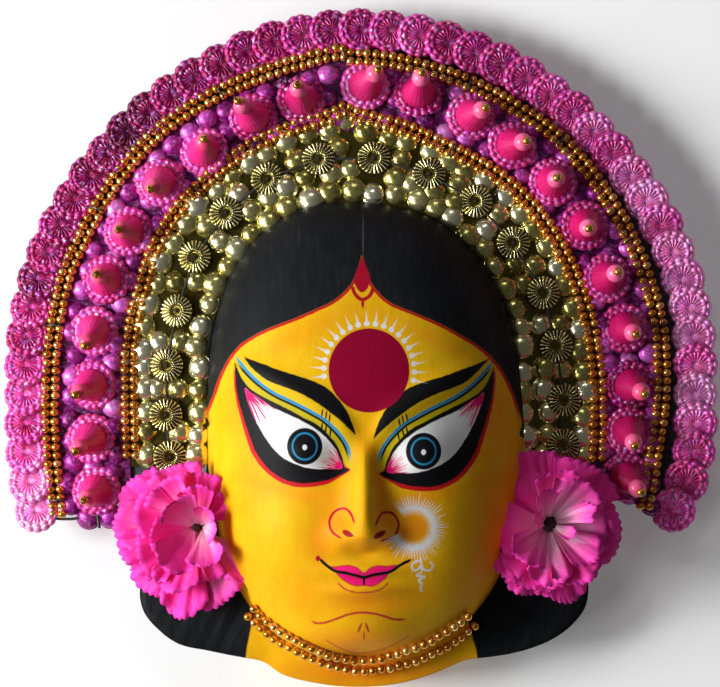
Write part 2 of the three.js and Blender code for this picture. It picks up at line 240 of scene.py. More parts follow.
def body_faces(rows, cols):
    """The faces of a round body: a closed grid, and two fans to the points added after it."""
    n, last = rows * cols, (rows - 1) * cols
    ahead = [(j, (j + 1) % cols) for j in range(cols)]
    return (grid_faces(rows, cols) + [(k, j, n) for j, k in ahead]
            + [(last + j, last + k, n + 1) for j, k in ahead])


def dish(radii, height, cols, edge=None):
    """A round body about +Z: radii and heights along its profile, shaped by edge(angle, radius, height)."""
    ang = np.linspace(0, 2 * np.pi, cols, endpoint=False)
    verts = []
    for r, z in zip(radii, height):
        rr, zz = np.full(cols, r), np.full(cols, z)
        if edge:
            rr, zz = edge(ang, rr, zz)
        verts.append(np.stack([rr * np.cos(ang), rr * np.sin(ang), zz], 1))
    tip = np.array([0, 0, height[-1]]) if radii[-1] < 1e-4 else verts[-1].mean(0)
    return np.concatenate([*verts, [verts[0].mean(0), tip]]), body_faces(len(radii), cols)


def ball(radius, rings, cols):
    a = np.linspace(-np.pi / 2, np.pi / 2, rings + 1)[1:-1]
    return dish(radius * np.cos(a), radius * np.sin(a), cols)


def turn(axis_z, spin=0.0):
    """A rotation that takes +Z to axis_z, after a spin about it."""
    z = Vector(axis_z).normalized()
    q = Vector((0, 0, 1)).rotation_difference(z)
    return np.array((q.to_matrix() @ Matrix.Rotation(spin, 3, "Z")))


def wire(points, radius, sides=6):
    """A round bar through points."""
    p = [Vector(q) for q in points]
    verts = []
    for i, c in enumerate(p):
        d = (p[min(i + 1, len(p) - 1)] - p[max(i - 1, 0)]).normalized()
        side = d.cross(Vector((0.1, 0.2, 1))).normalized()
        up = side.cross(d)
        for k in range(sides):
            a = 2 * math.pi * k / sides
            verts.append(tuple(c + radius * (math.cos(a) * side + math.sin(a) * up)))
    faces = grid_faces(len(p), sides)
    faces.append(tuple(range(sides)))
    faces.append(tuple(reversed(range((len(p) - 1) * sides, len(p) * sides))))
    return np.array(verts), faces


def smooth_curve(points, steps, closed=False):
    """A Catmull-Rom curve through picture points."""
    p = np.asarray(points, float)
    n = len(p)
    out = []
    for i in range(n if closed else n - 1):
        g = [p[(i + d) % n] if closed else p[min(max(i + d, 0), n - 1)] for d in (-1, 0, 1, 2)]
        for t in np.arange(steps) / steps:
            out.append(0.5 * (2 * g[1] + (g[2] - g[0]) * t + (2 * g[0] - 5 * g[1] + 4 * g[2] - g[3]) * t * t
                              + (3 * g[1] - g[0] - 3 * g[2] + g[3]) * t ** 3))
    if not closed:
        out.append(p[-1])
    return np.array(out)


# The head's form
# half widths by the bearing in degrees, as shares of HALF: the face, then the neck and side locks
HEAD_RADII = [
    1.017, 1.05, 1.145, 1.316, 1.512, 1.653, 1.695, 1.699, 1.558, 1.33, 1.14, 1.026, 0.98, 0.962, 0.995,
    1.068, 1.153, 1.2, 1.172, 1.178, 1.147, 1.082, 1.021, 1.002]
HEAD_OUTLINE = [(15 * k, r) for k, r in enumerate(HEAD_RADII)]
BODY_OUTLINE = [(0, 1.03)] + [(a, r + 0.016) for a, r in HEAD_OUTLINE[1:12]] + [
    (180, 0.998), (190, 1.116),
    (197, 1.313), (203, 1.478), (208, 1.6), (212.5, 1.647), (217, 1.641), (223, 1.6), (229.5, 1.495),
    (238, 1.393), (242.5, 1.362), (248, 1.383), (257, 1.373), (270, 1.362), (280, 1.358), (290, 1.35),
    (297, 1.35), (301, 1.38), (313, 1.533), (319, 1.6), (324, 1.632), (329, 1.632), (335, 1.545),
    (340, 1.384), (346, 1.196), (353, 1.056)]
WALL, RIM_EDGE, NECK_EDGE, DEPTH = 0.004, 0.028, 0.042, 0.1


def outline(table, deg):
    a = np.mod(np.asarray(deg, float), 360)
    ks = np.array([p[0] for p in table], float)
    vs = np.array([p[1] for p in table], float)
    n = len(ks)
    i = np.searchsorted(ks, a, side="right") - 1

    def get(k):
        return ks[np.mod(k, n)] + 360 * np.floor_divide(k, n), vs[np.mod(k, n)]
    (a0, v0), (a1, v1), (a2, v2), (a3, v3) = get(i - 1), get(i), get(i + 1), get(i + 2)
    h = a2 - a1
    t = (a - a1) / h
    m1 = h * (v2 - v0) / (a2 - a0)
    m2 = h * (v3 - v1) / (a3 - a1)
    return ((2 * t ** 3 - 3 * t ** 2 + 1) * v1 + (t ** 3 - 2 * t ** 2 + t) * m1
            + (3 * t ** 2 - 2 * t ** 3) * v2 + (t ** 3 - t ** 2) * m2)


def sm(t):
    s = np.clip(t, 0, 1)
    return s * s * (3 - 2 * s)


def bell(d, w):
    return np.exp(-(d * d) / (w * w))


def features(x, y):
    down = np.where(y > -0.36, sm((0.3 - y) / 0.66), sm((y + 0.5) / 0.13))
    ridge = 0.164 * down * bell(x, 0.064 + 0.044 * down)
    wings = 0.075 * (bell(np.hypot(x - 0.13, (y + 0.38) * 1.1), 0.09)
                     + bell(np.hypot(x + 0.13, (y + 0.38) * 1.1), 0.09))
    lips = 0.045 * bell(x, 0.24) * (bell(y + 0.6, 0.05) + 1.1 * bell(y + 0.715, 0.055))
    chin = 0.06 * bell(np.hypot(x, (y + 0.98) * 1.2), 0.24)
    side = np.abs(x)
    eyes = 0.05 * bell(np.hypot((side - 0.39) * 0.75, y - 0.14 - 0.1 * (side - 0.39)), 0.13)
    brow = (0.03 * bell(y - 0.3 - 0.85 * (side - 0.1) + 0.35 * side * side, 0.09)
            * sm(side / 0.15) * sm((0.95 - side) / 0.3))
    cheeks = 0.04 * bell(np.hypot(side - 0.52, y + 0.36), 0.26)
    bridge = -0.035 * bell(np.hypot(side - 0.16, y - 0.08), 0.12)
    return HALF * (ridge + wings + lips + chin + eyes + brow + cheeks + bridge)


def low(deg):
    a = np.mod(deg, 360)
    return sm((a - 185) / 30) * sm((355 - a) / 30)


def head_point(deg, share, grow=0.0, detail=1.0):
    deg = np.asarray(deg, float)
    rad = np.radians(deg)
    inner = HALF * outline(HEAD_OUTLINE, deg)
    outer = HALF * outline(BODY_OUTLINE, deg)
    edge = RIM_EDGE + (NECK_EDGE - RIM_EDGE) * low(deg)
    share = np.asarray(share, float)
    out = np.where(share <= 1, share * (inner + grow), inner + (outer - inner) * (share - 1) + grow)
    x, y = out * np.cos(rad), out * np.sin(rad)
    t = np.minimum(1, share)
    dome = edge + (DEPTH - edge) * np.sqrt(np.maximum(0, 1 - t ** 2.4))
    faded = detail * sm((1 - t) / 0.12)
    apron = np.where(share > 1, -(share - 1) * (0.004 + 0.005 * low(deg)), 0)
    z = dome + apron + faded * features(x / HALF, y / HALF) + grow
    return np.stack([x + HEAD_X, y + FAN_Y - HEAD_DROP, z], -1)


def head_height(px, py):
    x, y = np.asarray(px) - HEAD_X, np.asarray(py) - FAN_Y + HEAD_DROP
    deg = np.degrees(np.arctan2(y, x))
    r = np.hypot(x, y)
    inner, outer = HALF * outline(HEAD_OUTLINE, deg), HALF * outline(BODY_OUTLINE, deg)
    share = np.where(r <= inner, r / inner, 1 + (r - inner) / (outer - inner))
    return np.where(share > 2, 0, head_point(deg, np.minimum(share, 2))[..., 2])


# Painted shapes, in picture units
MID = 364.5


def flip(points):
    """The same shape on the right half of the face, which sits a little lower."""
    return [(2 * MID - x, y + 4) for x, y in points]


REGIONS = {
    "hair": [
        (200, 430), (206, 413), (210, 402), (214, 392), (219, 377), (229, 358), (240, 345), (255, 335),
        (272, 327), (293, 319), (314, 310), (333, 301), (347, 289), (355, 277), (359, 266), (362, 255),
        (365, 267), (370, 281), (379, 293), (391, 303), (410, 311), (436, 322), (459, 334), (480, 347),
        (495, 361), (507, 379), (516, 400), (522, 421), (530, 440), (640, 440), (640, 120), (90, 120),
        (90, 430)],
    "drop": [
        (362, 257), (366, 266), (369.5, 275), (370, 282), (367, 289), (362.5, 292.5), (358, 290),
        (354.5, 283), (354.5, 276), (358.5, 266)],
    "neck": [
        (264, 560), (259, 598), (253, 618), (249, 638), (246, 656), (245, 700), (361, 706), (478, 700),
        (477, 656), (473, 640), (468, 620), (462, 598), (458, 560)],
    "lip_up": [
        (330, 567.5), (336, 566.8), (343, 565.8), (350, 565.6), (357.5, 568.2), (364, 573.2),
        (370.5, 568.2), (378, 566), (387, 566.4), (397, 565.4), (390, 571.8), (374.8, 574.6),
        (364, 577.3), (356.4, 575.6), (345.5, 572.9), (334.7, 570.8)],
    "lip_low": [
        (336, 572), (345.5, 574.2), (356.4, 577), (364, 578.5), (374.8, 576), (388, 573), (383, 580),
        (373.7, 585.6), (364, 585.2), (355, 585.6), (345, 581)],
    "nostril_l": [
        (342.3, 530.5), (345, 529.6), (349, 531.2), (353.5, 535), (353.5, 536.6), (349.5, 537),
        (345, 535.8), (342.6, 533)],
    "nostril_r": [
        (373.6, 537.6), (376, 534), (380, 531.3), (384.5, 530.6), (386, 532.2), (383, 535.8),
        (378.5, 538.2), (375, 539)],
}
EYE = {
    "brow": [
        (240.3, 352), (245.1, 356.7), (253.7, 360.6), (267.1, 365.4), (282.4, 371.1), (297.7, 375.9),
        (311.1, 380.2), (320.7, 384.5), (329.3, 390.2), (336, 396.5), (343.7, 406), (350.4, 418.5),
        (355.6, 434.7), (349.4, 429), (341.7, 421.8), (333.1, 414.6), (325.5, 408.9), (315.9, 402.2),
        (304.4, 395.5), (292, 389.8), (278.6, 385), (267.1, 380.2), (258.5, 374), (249.9, 365.8)],
    "olive": [
        (237, 354), (250, 365), (263, 376), (279, 384), (298, 392), (314, 400), (330, 411), (344, 423),
        (355, 436), (354, 462), (344, 470), (338, 454), (330, 441), (321, 433), (307, 425), (292, 417),
        (275, 407), (258, 398), (244, 388), (236, 366)],
    "lash": [
        (234.6, 362), (235.5, 378.3), (237, 392.6), (240.3, 407), (244.1, 419.4), (248.9, 433.8),
        (252.8, 445.3), (257.5, 454.8), (265.2, 465.4), (274.8, 474), (286.2, 480.2), (299.6, 483.1),
        (313, 482.6), (326.4, 480.2), (337.9, 475.9), (349.4, 469.9), (344.6, 467.3), (342.7, 458.7),
        (339.8, 451), (335, 442.4), (328.3, 434.7), (321.7, 428), (315, 423.3), (303.5, 417.5),
        (290.1, 410.3), (276.7, 403.6), (263.3, 396.9), (250.8, 389.3), (244.1, 382.1), (239.4, 373.5)],
    "white": [
        (245, 388.3), (249.9, 392.6), (256.6, 396.5), (263.3, 401.2), (270.9, 406.4), (282.4, 411.8),
        (292, 416.1), (301.6, 420.9), (311.1, 426.1), (318.8, 431.4), (325.5, 437.1), (331.2, 443.3),
        (336, 450), (338.9, 456.7), (341.7, 467.8), (330.3, 468.7), (315.9, 469), (303.5, 466.8),
        (292, 462.5), (282.4, 457.2), (272.8, 448.1), (265.2, 437.6), (258.5, 426.1), (252.8, 413.7),
        (248, 401.2)],
}
LINES = {
    "blue_l": [
        (235.5, 356.3), (241.3, 363.9), (248.9, 373), (258.5, 382.1), (268.1, 389.3), (278.6, 395.5),
        (292, 401.7), (303.5, 407.5), (314, 413.2), (324.5, 419.4), (333.1, 427.1), (339.8, 434.3),
        (345.6, 442.4), (349.4, 451.5), (351.8, 463.4)],
}
for key in ("brow", "olive", "lash", "white"):
    REGIONS[key + "_l"] = EYE[key]
    REGIONS[key + "_r"] = flip(EYE[key])
REGIONS["brow_r"][0] = (491, 357)
LINES["blue_r"] = flip(LINES["blue_l"])
LINES["lid_l"] = [
    (230, 350), (240, 382), (262, 402), (289, 420), (320, 437), (336, 455), (352, 471), (360, 474)]
LINES["lid_r"] = flip(LINES["lid_l"])

STROKES = {
    "nose_l": [
        (354.7, 525), (352, 516), (347.7, 510), (342.3, 508.4), (334.7, 511.7), (329.8, 519.3),
        (329.8, 525.8), (333.6, 533.4), (343.4, 539.3)],
    "nose_r": [
        (374.8, 527.9), (380.2, 515), (385.6, 512.2), (393.2, 513.8), (398.1, 521.4), (397.6, 530.1),
        (392.1, 537.7), (378, 541.5)],
    "under_lip": [
        (336.3, 581), (343.4, 588), (353, 592), (365, 592.5), (376, 591), (384.6, 586.5), (390, 580)],
    "chin_top": [
        (308, 619.5), (315, 622.8), (324, 622.8), (336, 619), (347.7, 614.7), (360.7, 612.5),
        (373.7, 613.6), (384.6, 616.3), (395.4, 619.5), (409.5, 619)],
    "chin_low": [
        (322, 637.4), (332.5, 644), (345.5, 650.4), (358.5, 653), (371.5, 652), (386.7, 647.7),
        (403, 639.6), (416, 633)],
    "mouth": [
        (317.9, 557.2), (326, 564.8), (334.7, 570.8), (345.5, 572.9), (356.4, 575.6), (364, 577.3),
        (374.8, 574.6), (390, 571.8), (400.8, 564.8), (412.7, 558.8)],
    "drop_cup": [
        (352.5, 286), (354, 292), (358, 297.5), (362.5, 299.5), (367.5, 297.5), (371.5, 293), (373, 287)],
    "scroll": [
        (419.8, 560.5), (414, 562.5), (411.7, 566), (413.8, 570.8), (418.2, 569), (421.4, 565.3),
        (423, 568.6), (426.3, 570.4), (431.2, 569.7), (432.8, 564.8), (430, 562)],
    "scroll_b": [
        (420.6, 558), (421.4, 565), (421.4, 571.8), (416.5, 575.6), (424.7, 576.7), (418.7, 580.5),
        (422, 584.3), (420.4, 587.5), (421.4, 591.4)],
}


CHUNK = 4000


def edge_distance(points, x, y):
    """Signed distance to a closed picture shape, negative inside."""
    p = smooth_curve(points, 6, closed=True)
    q = np.roll(p, -1, axis=0)
    d = q - p
    out = np.empty(len(x))
    for s in range(0, len(x), CHUNK):
        part = slice(s, s + CHUNK)
        px, py = x[part, None], y[part, None]
        vx, vy = px - p[:, 0], py - p[:, 1]
        t = np.clip((vx * d[:, 0] + vy * d[:, 1]) / np.maximum(1e-9, (d ** 2).sum(1)), 0, 1)
        dist = np.sqrt(((vx - t * d[:, 0]) ** 2 + (vy - t * d[:, 1]) ** 2).min(1))
        above = (p[:, 1] > py) != (q[:, 1] > py)
        cross = p[:, 0] + vy * d[:, 0] / np.where(d[:, 1] == 0, 1e-9, d[:, 1])
        inside = (above & (px < cross)).sum(1) % 2 == 1
        out[part] = np.where(inside, -dist, dist)
    return out


def stroke_distance(points, x, y):
    """Signed distance across an open stroke, and the share of the way along it."""
    p = smooth_curve(points, 8)
    d = p[1:] - p[:-1]
    length = np.hypot(d[:, 0], d[:, 1])
    start = np.concatenate([[0], np.cumsum(length)])
    across, along = np.empty(len(x)), np.empty(len(x))
    low_end, high_end = np.zeros(len(d)), np.ones(len(d))
    low_end[0], high_end[-1] = -np.inf, np.inf
    for s in range(0, len(x), CHUNK):
        part = slice(s, s + CHUNK)
        vx, vy = x[part, None] - p[:-1, 0], y[part, None] - p[:-1, 1]
        t = np.clip((vx * d[:, 0] + vy * d[:, 1]) / np.maximum(1e-9, length ** 2), low_end, high_end)
        dist2 = (vx - t * d[:, 0]) ** 2 + (vy - t * d[:, 1]) ** 2
        tc = np.clip(t, 0, 1)
        true2 = (vx - tc * d[:, 0]) ** 2 + (vy - tc * d[:, 1]) ** 2
        best = true2.argmin(1)
        rows = np.arange(len(best))
        sign = np.sign(d[best, 0] * vy[rows, best] - d[best, 1] * vx[rows, best])
        across[part] = sign * np.sqrt(dist2[rows, best])
        along[part] = (start[best] + t[rows, best] * length[best]) / start[-1]
    return np.clip(across, -40, 40), np.clip(along, -1, 2)


# The head's mesh
COLS = 560
EDGE_TAG, INSIDE_TAG = 2.2, 3.0
deg = np.arange(COLS) * 360 / COLS
shares = np.concatenate([np.linspace(0.006, 0.93, 112), 1 - 0.07 * (1 - np.linspace(0, 1, 15)[1:]) ** 1.8])
verts, tags = [], []


def ring(share, tag, grow=0.0, detail=1.0, squash=1.0):
    """Adds a row of the head's mesh; the tag tells the face, the edge and the inside apart."""
    row = head_point(deg, share, grow, detail)
    row[:, 2] *= squash
    verts.append(row)
    tags.append(np.full(COLS, tag))


for s in [*shares, *np.linspace(1, 2, 16)[1:]]:
    ring(s, s)
for squash in (0.93, 0.8, 0.5, 0.2, 0.0):
    ring(2.0, EDGE_TAG, squash=squash)
painted = (len(verts) - 1) * COLS
for squash in (0.0, 0.5, 1.0):
    ring(2.0, INSIDE_TAG, -WALL, squash=squash)
for s in (1.7, 1.35, 1.0, 0.985, 0.96, 0.92, 0.86, 0.78, 0.69, 0.6, 0.5, 0.4, 0.3, 0.2, 0.1, 0.02):
    ring(s, INSIDE_TAG, -WALL, 0.75)
faces = body_faces(len(verts), COLS)
slots = [int(face[0] >= painted) for face in faces]
V = np.concatenate([*verts, [verts[0].mean(0), verts[-1].mean(0)]])
SH = np.concatenate([*tags, [0, INSIDE_TAG]])
PX, PY = picture(V[:, 0], V[:, 1], V[:, 2])

# Hair locks: long strands raised a little on the parts beside the neck.
neck_d = edge_distance(REGIONS["neck"], PX, PY)
lock = sm((SH - 1.02) / 0.25) * sm(neck_d / 6) * (SH < 2.5)
across_lock = (PX - MID) * 0.36 + 0.1 * (PY - 600) + 2.4 * np.sin(PY * 0.03)
strand = (0.6 * np.sin(across_lock) + 0.4 * np.sin(2.37 * across_lock + 0.06 * PY)
          + 0.3 * np.sin(0.61 * across_lock))
V[:, 2] += np.where(lock > 0, lock * 0.00035 * strand * (SH <= 2.0), 0)

attrs = {"px": PX, "py": PY, "ring": SH}
FAR = 60.0
face_rows = SH <= 1.2
outside = SH <= EDGE_TAG
for key, points in REGIONS.items():
    d = np.full(len(V), FAR)
    d[outside] = np.clip(edge_distance(points, PX[outside], PY[outside]), -FAR, FAR)
    attrs["d_" + key] = d
for key, points in {**LINES, **STROKES}.items():
    across, along = np.full(len(V), FAR), np.full(len(V), -1.0)
    across[face_rows], along[face_rows] = stroke_distance(points, PX[face_rows], PY[face_rows])
    attrs["s_" + key] = np.abs(across) if key in STROKES else across
    attrs["t_" + key] = along


def blob(x, y, sx, sy, angle):
    """A soft oval patch over the head's points."""
    c, s = math.cos(math.radians(angle)), math.sin(math.radians(angle))
    dx, dy = PX - x, PY - y
    return np.exp(-(((dx * c + dy * s) / sx) ** 2 + ((dy * c - dx * s) / sy) ** 2))


# Orange contour paint of the mask, partly painted shade: the patches right of the nose and along the right
# edge and jaw are heavier, where shadow falls.
BLUSH_AND_SHADE = [
    (339, 522, 20, 26, 0, 0.55), (391, 522, 20, 24, 0, 0.5), (365, 548, 26, 12, 0, 0.45),
    (318, 545, 17, 24, 20, 0.5), (411, 548, 17, 24, -20, 0.45), (365, 600, 50, 16, 0, 0.65),
    (300, 492, 46, 11, 12, 0.5), (430, 496, 46, 11, -12, 0.5), (352, 465, 9, 40, 8, 0.4),
    (379, 474, 9, 42, -8, 0.75), (243, 415, 15, 52, -10, 0.5), (492, 425, 15, 52, 10, 0.55),
    (250, 560, 24, 60, -12, 0.35), (486, 560, 28, 70, 12, 0.5), (365, 642, 60, 14, 0, 0.7),
    (300, 335, 60, 10, -24, 0.35), (430, 338, 60, 10, 24, 0.35), (365, 672, 110, 16, 0, 0.9),
    (290, 600, 30, 30, 0, 0.2)]
attrs["blush"] = np.clip(sum(w * blob(x, y, sx, sy, an) for x, y, sx, sy, an, w in BLUSH_AND_SHADE), 0, 1)

# Face paint
p = Nodes("face_paint")
PXN, PYN = p.attr("px"), p.attr("py")
grain = p.noise(900, 3)
wobble = p.mul(p.sub(p.noise(260, 2), 0.5), 1.3)
streak = p.noise(1.0, 4, 0.6, p.stretch((380, 60, 120)), 0.6)
patch = p.noise(28, 3, 0.55)
skin = p.ramp(p.add(p.mul(streak, 0.3), p.mul(patch, 0.7)),
              [(0.3, (0.7, 0.34, 0.003)), (0.5, (0.76, 0.43, 0.005)), (0.7, (0.82, 0.5, 0.01))])
BLACK, WHITE = (0.006, 0.006, 0.007), (0.7, 0.7, 0.7)
OLIVE, ORANGE, BLUE, IRIS = (0.42, 0.36, 0.006), (0.84, 0.18, 0.006), (0.02, 0.24, 0.46), (0.02, 0.22, 0.42)
RED, DROP_RED, DEEP_RED = (0.42, 0.006, 0.022), (0.4, 0.005, 0.012), (0.26, 0.006, 0.012)
LIP, EYE_PINK = (0.8, 0.01, 0.17), (0.7, 0.006, 0.13)


def paint(colour, *factors):
    global skin
    skin = p.mix(p.mul(*factors), skin, colour)


def wavy(key):
    """The distance to a region, with the small unevenness of a brush."""
    return p.add(p.attr("d_" + key), wobble)


def brushed(key, half, a=0.02, b=0.98, taper=True):
    """Where a brush line is, from share a to share b of its stroke, thin at both ends."""
    across = p.size(p.add(p.attr("s_" + key), p.mul(wobble, 0.5)))
    t = p.attr("t_" + key)
    ends = p.mul(p.span(t, a - 0.02, a + 0.06), p.span(t, b - 0.06, b + 0.02, 1.0, 0.0))
    width = p.mul(ends, half) if taper else half
    return p.mul(p.within(p.sub(across, width), 0, 0.5), p.span(ends, 0.0, 0.15))


def local(x, y):
    return p.sub(PXN, x), p.sub(y, PYN)


def radius(dx, dy, sx=1.0, sy=1.0):
    a = p.math("POWER", p.div(dx, sx), 2.0)
    b = p.math("POWER", p.div(dy, sy), 2.0)
    return p.math("SQRT", p.add(a, b))


def oval(colour, x, y, sx, sy, soft, share=1.0, tilt=0.0):
    """Paints an oval with its middle at a picture place."""
    dx, dy = local(x, y)
    paint(colour, p.within(radius(p.add(dx, p.mul(dy, tilt)), dy, sx, sy), 1.0, soft), share)


# orange contour paint, with painted shade right of the nose and along the right edge
blush = p.mul(p.attr("blush"), p.span(p.noise(60, 4), 0.2, 0.8, 0.75, 1.15))
paint(ORANGE, p.mul(blush, 0.85, clamp=True))
# thin cracks in the paint
crack = p.voronoi(95, "DISTANCE_TO_EDGE", p.stretch((1.0, 1.6, 1.0)))
paint((0.45, 0.2, 0.01), p.span(crack, 0.0, 0.012, 1.0, 0.0), 0.16)
for side in ("l", "r"):
    left = side == "l"
    blue = p.attr("s_blue_" + side)
    ways = (0.4, 0.9) if left else (0.9, 0.4)
    shade = p.mul(p.span(blue, -1.5, 1.5, *ways), p.span(streak, 0.3, 0.6, 0.7, 1.0))
    paint(OLIVE, p.within(wavy("olive_" + side), 0, 1.5), shade)
    # a red edge below the lash line, wider toward the lower outer corner
    inward = (322, 350, 0.0, 3.2) if left else (2 * MID - 350, 2 * MID - 322, 3.2, 0.0)
    wide = p.sub(p.span(PYN, 380, 460, 1.9, 4.2), p.span(PXN, *inward))
    below = (0.0, 1.0) if left else (1.0, 0.0)
    lower = p.mul(p.span(PYN, 362, 380), p.span(p.attr("s_lid_" + side), -1.0, 1.0, *below))
    paint((0.52, 0.01, 0.014), p.within(p.sub(wavy("lash_" + side), wide), 0.0, 0.7), lower)
    for colour, key in ((BLACK, "lash_"), (WHITE, "white_"), (BLACK, "brow_")):
        paint(colour, p.within(wavy(key + side), 0, 0.6))
    low_line = p.size(p.sub(blue, 2.6 if left else -2.6))
    t = p.attr("t_blue_" + side)
    ends = p.mul(p.span(t, 0.02, 0.1), p.span(t, 0.9, 1.0, 1, 0))
    paint(BLACK, p.within(low_line, 1.2, 0.5), ends)
    paint(BLUE, brushed("blue_" + side, 1.4, 0.0, 0.97))

for side, cx, cy in (("l", 304.7, 446.4), ("r", 423.6, 451.2)):
    white = wavy("white_" + side)
    dx, dy = local(cx, cy)
    # pink strokes that fringe both corners of the eye
    for kx, ky, reach, more in ((243, 385, 17, 24), (344.5, 470, 10, 15)):
        hx, hy = local(*((kx, ky) if side == "l" else (2 * MID - kx, ky + 4)))
        fringe = p.fringe(p.math("ARCTAN2", hy, hx), 19.0)
        past = p.sub(radius(hx, hy), p.math("MULTIPLY_ADD", fringe, more, reach))
        paint(EYE_PINK, p.within(past, 0, 1.5), p.within(white, 0.3, 0.6))
    paint(BLACK, p.within(radius(dx, dy, 17.7, 18.4), 1.0, 0.03), p.within(white, 1.5, 0.7))
    paint(IRIS, p.within(p.size(p.sub(radius(dx, dy, 12.2, 13.2), 1.0)), 0.07, 0.04))
    oval(WHITE, cx, cy + 1.0, 2.4, 2.8, 0.2)

# mouth, chin and nose
for lip in ("lip_up", "lip_low"):
    paint(LIP, p.within(wavy(lip), 0, 0.8))
    paint(RED, p.within(p.size(wavy(lip)), 0.8, 0.5), 0.75)
paint(BLACK, brushed("mouth", 1.5, 0.0, 1.0))
oval(BLACK, 364, 581, 1.2, 4.2, 0.25)
oval(RED, 318, 558.4, 2.4, 2.8, 0.2)
RED_LINES = (("under_lip", 0.9, 0.85), ("chin_top", 1.2, 0.9), ("chin_low", 0.9, 0.5), ("nose_l", 1.25, 1.0),
             ("nose_r", 1.25, 1.0))
for key, half, share in RED_LINES:
    paint(RED, brushed(key, half), share)
CHIN_MARKS = ((359.9, 627.6, 1.4, 5.0, -0.39), (367.2, 627.6, 1.4, 5.0, 0.33), (364, 635.5, 0.8, 4.8, 0.0))
for x, y, wide, half, tilt in CHIN_MARKS:
    oval(RED, x, y, wide, half, 0.3, 0.85, tilt)
for key in ("nostril_l", "nostril_r"):
    paint(DEEP_RED, p.within(wavy(key), 0, 0.7))
# short strokes beside the inner eye
INNER_EYE_MARKS = ((322.2, 413, 4), (326.2, 415.2, 4.5), (329.6, 418, 4.2), (321.9, 426.6, 4.5),
                   (325.8, 429, 5), (330.5, 432, 5))
for x, y, half in INNER_EYE_MARKS:
    oval(BLACK, x, y, 0.85, half, 0.3, tilt=-0.1)
    oval(BLACK, 2 * MID - x, y + 4, 0.85, half, 0.3, tilt=0.2)

# hair, hairline edge, parting
ragged = wavy("hair")
side_lock = p.mul(p.span(p.attr("ring"), 1.02, 1.05), p.span(p.attr("d_neck"), -1.0, 1.0))
hair_mask = p.math("MAXIMUM", p.within(ragged, 0, 0.8), side_lock)
paint((0.5, 0.012, 0.01), p.within(p.size(p.sub(ragged, 1.3)), 1.5, 0.6), p.span(PYN, 405, 428, 1.0, 0.0))
hair_streak = p.noise(1.0, 4, 0.6, p.stretch((420, 60, 60)), 0.4)
HAIR = [(0.35, (0.006, 0.007, 0.008)), (0.55, (0.01, 0.011, 0.013)), (0.75, (0.022, 0.022, 0.025))]
paint(p.ramp(p.add(p.mul(hair_streak, 0.6), p.mul(p.noise(35, 4), 0.4)), HAIR), hair_mask)
oval((0.07, 0.065, 0.07), 363, 236, 0.9, 22, 0.4, 0.7)
# drop mark and its cup
paint((0.36, 0.004, 0.022), p.within(p.attr("d_drop"), 0, 0.6))
paint(DROP_RED, brushed("drop_cup", 1.9, 0.0, 1.0))
oval(DROP_RED, 362.8, 303.5, 1.5, 4.4, 0.3)

# forehead disc with dots and tapering rays over its upper half
dx, dy = local(369, 370.5)
r = radius(dx, dy, 1.0, 1.04)
paint((0.25, 0.001, 0.024), p.within(r, 40.4, 0.5))
# the angle runs clockwise from straight up, so it wraps below the disc where there are no rays
angle = p.math("DEGREES", p.math("ARCTAN2", dx, dy))
STEP, FIRST = 10.52, 97.4
cell = p.sub(p.math("FRACT", p.div(p.add(angle, FIRST + 1.5 * STEP), STEP)), 0.5)
upper = p.mul(p.span(angle, -104, -102), p.span(angle, 107, 109, 1.0, 0.0))
side_way = p.mul(cell, STEP * math.pi / 180, r)
dot = p.within(radius(side_way, p.sub(r, 45.3)), 2.7, 0.5)
taper = p.span(r, 46, 62, 1.15, -0.25)
ray = p.within(p.sub(p.size(side_way), taper), 0.0, 0.5)
ray = p.mul(ray, p.span(r, 47, 48), p.span(r, 60, 62.5, 1.0, 0.0))
paint(WHITE, p.math("MAXIMUM", dot, p.mul(ray, 0.85)), upper)

# painted nose ring: soft orange middle, a ring of short white rays, and a curled scroll
dx, dy = local(413.8, 527.9)
r = radius(dx, dy)
paint((0.84, 0.24, 0.008), p.within(r, 13, 4), 0.7)
turned = p.math("ARCTAN2", dy, dx)
angle = p.math("DEGREES", turned)
uneven = p.fringe(turned, 11.0)
SPIKE = 5.6
cell = p.size(p.sub(p.math("FRACT", p.div(p.add(angle, 360.0), SPIKE)), 0.5))
outer_end = p.math("MULTIPLY_ADD", uneven, 8.0, 29.5)
outward = p.sub(1.0, p.div(p.sub(r, 20.0), p.sub(outer_end, 20.0)))
inward = p.div(p.sub(r, 12.5), 7.5)
share = p.mul(p.math("MINIMUM", outward, inward), 0.4)
spike = p.mul(p.span(p.sub(cell, share), -0.12, 0.12, 1.0, 0.0), p.span(share, 0.0, 0.06))
heavy = p.math("MULTIPLY_ADD", p.span(angle, 20, 90, 1.0, 0.0), 0.9, 1.9)
middle = p.size(p.sub(r, p.math("MULTIPLY_ADD", uneven, 1.5, 19.5)))
band = p.mul(p.within(p.sub(middle, heavy), 0.0, 1.0), 0.92)
open_left = p.mul(p.span(angle, 128, 134, 1.0, 0.0), p.span(angle, -162, -156))
paint(WHITE, p.math("MAXIMUM", band, spike), open_left)
for key in ("scroll", "scroll_b"):
    paint(WHITE, brushed(key, 1.0, 0.0, 1.0, False))

p.set(Base_Color=skin, Roughness=p.add(p.mul(grain, 0.16), p.span(hair_mask, 0, 1, 0.42, 0.46)),
      Specular_IOR_Level=0.07)
p.bump(p.add(p.mul(grain, 0.25), p.add(p.mul(streak, 0.15), p.mul(p.noise(45, 3), 0.8))),
       0.35, 0.0012)
FACE = p.mat

